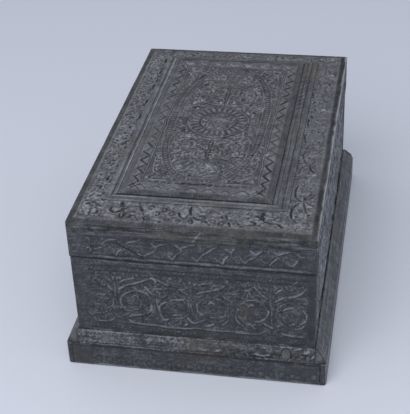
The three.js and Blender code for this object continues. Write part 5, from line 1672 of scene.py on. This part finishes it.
def slope(sheet):
    """The sloping edges, with streaks of dirt along them: darker than the face, least of all at the left."""
    inset = sheet.inset()
    sheet.height -= SLOPE_DROP * np.clip(1 - inset / SLOPE_WIDTH, 0, 1)
    on_slope = np.clip((SLOPE_WIDTH + 0.2 - inset) / 1.2, 0, 1)
    dirt_lines = streaks(sheet.flat[..., 0], inset, 9, 1.1, 75)
    at_left = sheet.share((-9, -9), (SLOPE_WIDTH, 300), (2, 2))
    sheet.tone -= on_slope * (0.6 - 0.4 * at_left + 0.5 * dirt_lines)


def frame_lines(sheet):
    """The lines round the field, the zigzags and the humps at both ends."""
    low, high = np.array(FIELD_LOW), np.array(FIELD_HIGH)
    for gap, dirt in ((0.6, 1.1), (2.0, 0.5)):
        box = [low - gap, (high[0] + gap, low[1] - gap), high + gap, (low[0] - gap, high[1] + gap), low - gap]
        sheet.cut(box, 0.5, 0.4, dirt=dirt)
    for u in ZIGZAG_SIDES:
        line = zigzag((u, 8.5), (u, 175), ZIGZAG_PITCH, ZIGZAG_SWING, round(u))
        sheet.cut(line, 1.2, 0.5, dirt=0.45)
        sheet.cut(line[:9], 1.1, 0.3, dirt=0.5)
        for at, way, low_v, high_v in ZIGZAG_STROKES:
            for a, b in zip(line[:-1], line[1:]):
                if at == u and (b - a)[0] * way < 0 and low_v < a[1] < high_v:
                    sheet.cut([a, b], 1.2, 0.35, "stroke", dirt=0.9)
    for v, way, rubbed in HUMP_ROWS:
        for k, u in enumerate(HUMP_PLACES):
            reach = 4.4 - 0.7 * (k % 3)
            foot = np.array((u - reach, v + 0.3 * (k % 2))), np.array((u + reach, v))
            crest = [foot[0] + (1.8, 1.3 * way), foot[1] + (-1.8, 1.3 * way)]
            sheet.paint(crest, 2.4, rubbed * (1 - 0.25 * (k % 2)))
            sheet.cut(bow(*foot, 0.4 * way), 1.0, 0.5, "stroke" if k % 2 else "even", dirt=0.6)
    for k, u in enumerate(NEAR_ROW):
        dirt = 1.6 if DARKEST_OF_ROW[0] < u < DARKEST_OF_ROW[1] else 0.9
        lift = 0.7 if k % 2 else -0.4
        sheet.cut(bow((u, 13 + lift), (u + 3.8, 13.4 - lift), 0.2), 1.6, 0.45, "leaf", dirt)
    sheet.paint([(37, 13.2), (56, 13.2)], 1.8, -0.7)
    sheet.paint([(17, 16.0), (27, 16.2)], 0.9, 0.9)
    sheet.paint([(66, 16.0), (80, 16.2)], 0.9, 0.6)
    for u in FAR_SHADOWS:
        sheet.paint([(u - 3, 184), (u + 3, 184)], 1.7, -1.0)
    for cross in NEAR_CROSSES:
        for reach in np.array([(2.6, 2.6), (2.6, -2.6)]):
            sheet.cut([cross - reach, cross + reach], 0.7, 0.6, dirt=0.9)


def panel_rows():
    """The grown repeats of the panel: the rungs of the oval and the flutes of the rosette."""
    corner, axes, _ = face_frame("lid_panel", "top")
    rungs = {"Pitch": 2.9, "Along": 1.6, "Across": 4.0, "Height": 0.9, "Slant": 0.25, "Variation": 0.3}
    flutes = {"Pitch": 4.0, "Along": 2.7, "Across": 7.6, "Height": 0.94, "Slant": 0.0, "Variation": 0.1}
    band = oval(np.subtract(OVAL_HALF, OVAL_BAND / 2))
    flute_ring = ring(MIDDLE, sum(ROSETTE_RADII) / 2, count=90)[:-1]
    rows = [grown(band, -0.5, rungs, top_wood, 3, closed=True, shine=0.7),
            grown(flute_ring, -0.5, flutes, top_wood, 4, closed=True, shine=0.9)]
    finish_piece(joined_rows("lid_panel_nicks", rows, corner, axes), top_wood, "lid")


sheet = panel_sheet(face_frame("lid_panel", "top")[2])
mesh = board("lid_panel_carved", "lid_panel", "top", sheet, radius=0.25, edge_drop=SLOPE_DROP, wave=0.1,
             chips=0.3, seed=71, gains=(2.2, 0.25), seen_behind=False)
finish_piece(mesh, top_wood, "lid", ["lid_panel"])
panel_rows()
print("panel:", len(sheet.u), "by", len(sheet.v), "points")

# %% [markdown]
# ## The mouldings at the foot of the walls
# A sloping moulding runs round the foot of the walls. At the ends it is held by three pegs, and a small
# dark ring shows where the hole of the right-hand peg is. The slope is the most worn part of the box: it is
# scuffed pale all over, and small chips show paler wood, most of them near the right-hand end. The places
# of walls, mouldings, pegs and nail come from the frame.

# %% Mouldings
def centre_across(node):
    """How far the centre of a node lies from the left side of the walls."""
    low, high = node_box(node)
    return (low[0] + high[0]) / 2 + WALLS_SIDE


WALLS_SIDE, WALLS_END = np.abs(node_box("front_wall")[0][:2])
REACH_END = -node_box("front_moulding")[0][1] - WALLS_END
REACH_SIDE = -node_box("left_moulding")[0][0] - WALLS_SIDE
MOULDING_FOOT, MOULDING_HEAD = (corner[2] for corner in node_box("front_moulding"))
MOULDING_LIP = MOULDING_FOOT + 0.9
LEDGE_MM = 1.2
PLINTH_CORNER_MM = 3.0
PEG_PLACES = [centre_across(f"front_peg_{k}") for k in (1, 2, 3)]
MOULDING_NAIL = centre_across("front_moulding_nail")
CHIPS = (
    ((15.4, 2.2), (16.2, 2.2), 1.2), ((76.4, 2.9), (77.4, 2.9), 0.9), ((81, 2.6), (82.4, 2.6), 0.9),
    ((88.8, 2.9), (91, 3.6), 1.2), ((113.5, 3), (118, 2.2), 0.9), ((118, 2.2), (122.5, 3.2), 0.8),
    ((144, 6), (146, 7), 1.2), ((148, 3), (149.4, 4.4), 1.1), ((139, 8), (141, 8.6), 0.9),
)


def moulding_reach(up, reach):
    share = np.clip((up - MOULDING_LIP) / (MOULDING_HEAD - MOULDING_LIP), 0, 1)
    return reach * (1 - share) + LEDGE_MM * share


def scuff(sheet, amount):
    """Salt and pepper all over a moulding: small pale scuffs and dark pits, more of them in some places."""
    places = amount * (0.6 + 0.5 * lattice_noise(sheet.flat, 17, 84))
    fine, coarse = lattice_noise(sheet.flat, 1.1, 85), lattice_noise(sheet.flat, 3.4, 86)
    sheet.tone += places * (1.3 * fine + 0.45 * coarse)


def moulding(side):
    node = f"{side}_moulding"
    at_end = side in ENDS
    reach = REACH_END if at_end else REACH_SIDE
    length = 2 * (WALLS_SIDE if at_end else WALLS_END + REACH_END)
    axes = np.array([SIDES[side][0], np.cross(*SIDES[side]), (0, 0, 1)], float)
    corner = axes[1] * ((WALLS_END if at_end else WALLS_SIDE) + GLUE_MM)
    lip, ledge = reach - GLUE_MM, LEDGE_MM - GLUE_MM
    run = [(lip, MOULDING_FOOT), (lip, MOULDING_LIP), (ledge, MOULDING_HEAD), (0, MOULDING_HEAD)]

    def ends(_, up):
        half = WALLS_SIDE + 0 * up if at_end else WALLS_END + moulding_reach(up, REACH_END)
        return -half, half

    def carve(sheet):
        scuff(sheet, 0.6 if at_end else 0.3)
        sheet.cut(sheet.all_along(1.2), 0.8, 0.3, dirt=0.35)
        if not at_end:
            for u in (0, length):
                sheet.paint([(u, 0), (u, 12)], 3.0, -1.0)
        if at_end:
            sheet.tone -= 0.12
            sheet.band((-5, sheet.v[-1] - 5.0), (160, sheet.v[-1] - 0.4), 0.2, (4, 1))
            sheet.paint([(28, 6.2), (68, 6.4)], 0.5, 0.8)
            sheet.band((-5, 0), (19, 12), 0.3, (8, 3))
            for u in (PEG_PLACES[0] + 2, PEG_PLACES[1] + 3):
                sheet.paint([(u - 1.5, 4.6), (u + 1.5, 4.4)], 3.4, 0.4)
            sheet.band((134, 0), (152, 2.2), 0.3, (6, 1.5), "bare")
            pitted = sheet.share((92, 0.5), (152, 5.5), (12, 2))
            sheet.tone += pitted * (1.0 * lattice_noise(sheet.flat, 0.6, 87) - 0.35)
            sheet.cut(ring((PEG_PLACES[-1], 4.9), 2.95, count=24), 0.5, 0.5, dirt=0.5)
            sheet.cut(ring((MOULDING_NAIL, 3.4), 1.4, count=16), 0.3, 0.4, dirt=0.6)
            for start, end, size in CHIPS:
                sheet.cut([start, end], size, 0.4, dirt=-2.6)
                shade = [(start[0] - 0.6, start[1] - size), (end[0] + 0.4, end[1] - size)]
                sheet.paint(shade, 0.7, -1.2)

    mesh = strip(f"{node}_planed", run, [(0, MOULDING_FOOT)], ends, corner, axes, length, carve, 0.15,
                 scuffs=0.18, seed=81)
    wear_corners(mesh, (WALLS_SIDE + REACH_SIDE, WALLS_END + REACH_END), PLINTH_CORNER_MM)
    finish_piece(mesh, shaded_end_moulded if at_end else side_moulded, "base", [node])


for side in SIDES:
    if side != "top":
        moulding(side)
print("mouldings reach", round(REACH_END, 1), "mm at the ends and", round(REACH_SIDE, 1), "mm at the sides")

# %% [markdown]
# ## The edge of the plinth
# Thin strips close the edges of the plinth board. Those at the ends have a plain block at either side, a
# faint row of loops between them and a pale worn arris below; the side strips have one fine line.

# %% Edge strips
LOOP_PITCH, LOOP_RADIUS, LOOP_HEIGHT = 6.5, 2.5, 5.4
BLOCK_LEFT, BLOCK_RIGHT = 12.0, 9.0
END_EDGE_STEP, SIDE_EDGE_STEP = 0.5, 0.6


def end_edging_sheet(spans):
    sheet = Sheet(spans, END_EDGE_STEP)
    low, high, top = BLOCK_LEFT, spans[0] - BLOCK_RIGHT, spans[1]
    sheet.sink((low, 1.2), (high, top + 2), 0.3, (2.0, 1.0))
    for u in np.arange(low + 5, high - 4, LOOP_PITCH):
        sheet.cut(ring((u, LOOP_HEIGHT), LOOP_RADIUS, 20, 300, count=18), 0.55, 0.3, dirt=0.2)
        sheet.boss((u, LOOP_HEIGHT), 0.9, -0.1, 0.25)
    sheet.paint([(0, top - 0.7), (spans[0], top - 0.7)], 1.2, -0.9)
    sheet.paint([(0, 0.7), (spans[0], 0.7)], 0.9, 0.9)
    sheet.band((0, 0), (low + 1, top), 0.25, (1, 4), "bare")
    sheet.age(93, 0.5)
    return sheet


def side_edging_sheet(spans):
    sheet = Sheet(spans, SIDE_EDGE_STEP)
    scuff(sheet, 0.3)
    sheet.tone += 0.35
    sheet.paint(sheet.all_along(spans[1] - 0.6), 0.9, 1.0)
    sheet.cut(sheet.all_along(3.2), 0.6, 0.2, dirt=0.4)
    return sheet


def dark_ends(points, on_edge):
    """The cut ends of a side strip, which took more of the stain."""
    at_ends = on_edge & (np.abs(points[:, 0] - points[:, 0].mean()) > points[:, 0].max() / 2 - 0.2)
    return np.where(at_ends, -1.1, 0), 0


for side in SIDES:
    if side == "top":
        continue
    node = f"{side}_edging"
    at_end = side in ENDS
    make_sheet, finish, slot = (end_edging_sheet, shaded_end_wood, "carved_wood") if at_end else (
        side_edging_sheet, side_moulded, "moulded_wood")
    sheet = make_sheet(face_frame(node, side)[2])
    mesh = board(f"{node}_worn", node, side, sheet, radius=0.6, wave=0.15, chips=0.7, seed=91,
                 edge_wear=None if at_end else dark_ends)
    wear_corners(mesh, np.abs(node_box("left_edging")[0][:2]), PLINTH_CORNER_MM)
    finish_piece(mesh, finish, "base", [node])

# %% [markdown]
# ## Pegs, nails, hinges and the inside
# These CAD nodes have the right shape already, so they stay and only get their finish.

# %% Carried-over nodes
STAINED_NODES = ("front_peg_1", "front_peg_2", "back_peg_1", "back_peg_2")
FINISH_OF_SLOT = {"peg_wood": pale_peg, "brass": brass, "inside_wood": inside_wood}
dressed = 0
for subpart in frame["record"]["subparts"]:
    if subpart["material_slot"] in FINISH_OF_SLOT:
        finish = FINISH_OF_SLOT[subpart["material_slot"]]
        node = frame["nodes"][subpart["node"]]
        node.material_slots[0].material = stained_peg if subpart["node"] in STAINED_NODES else finish
        dressed += 1
print("carried-over nodes with a finish:", dressed)
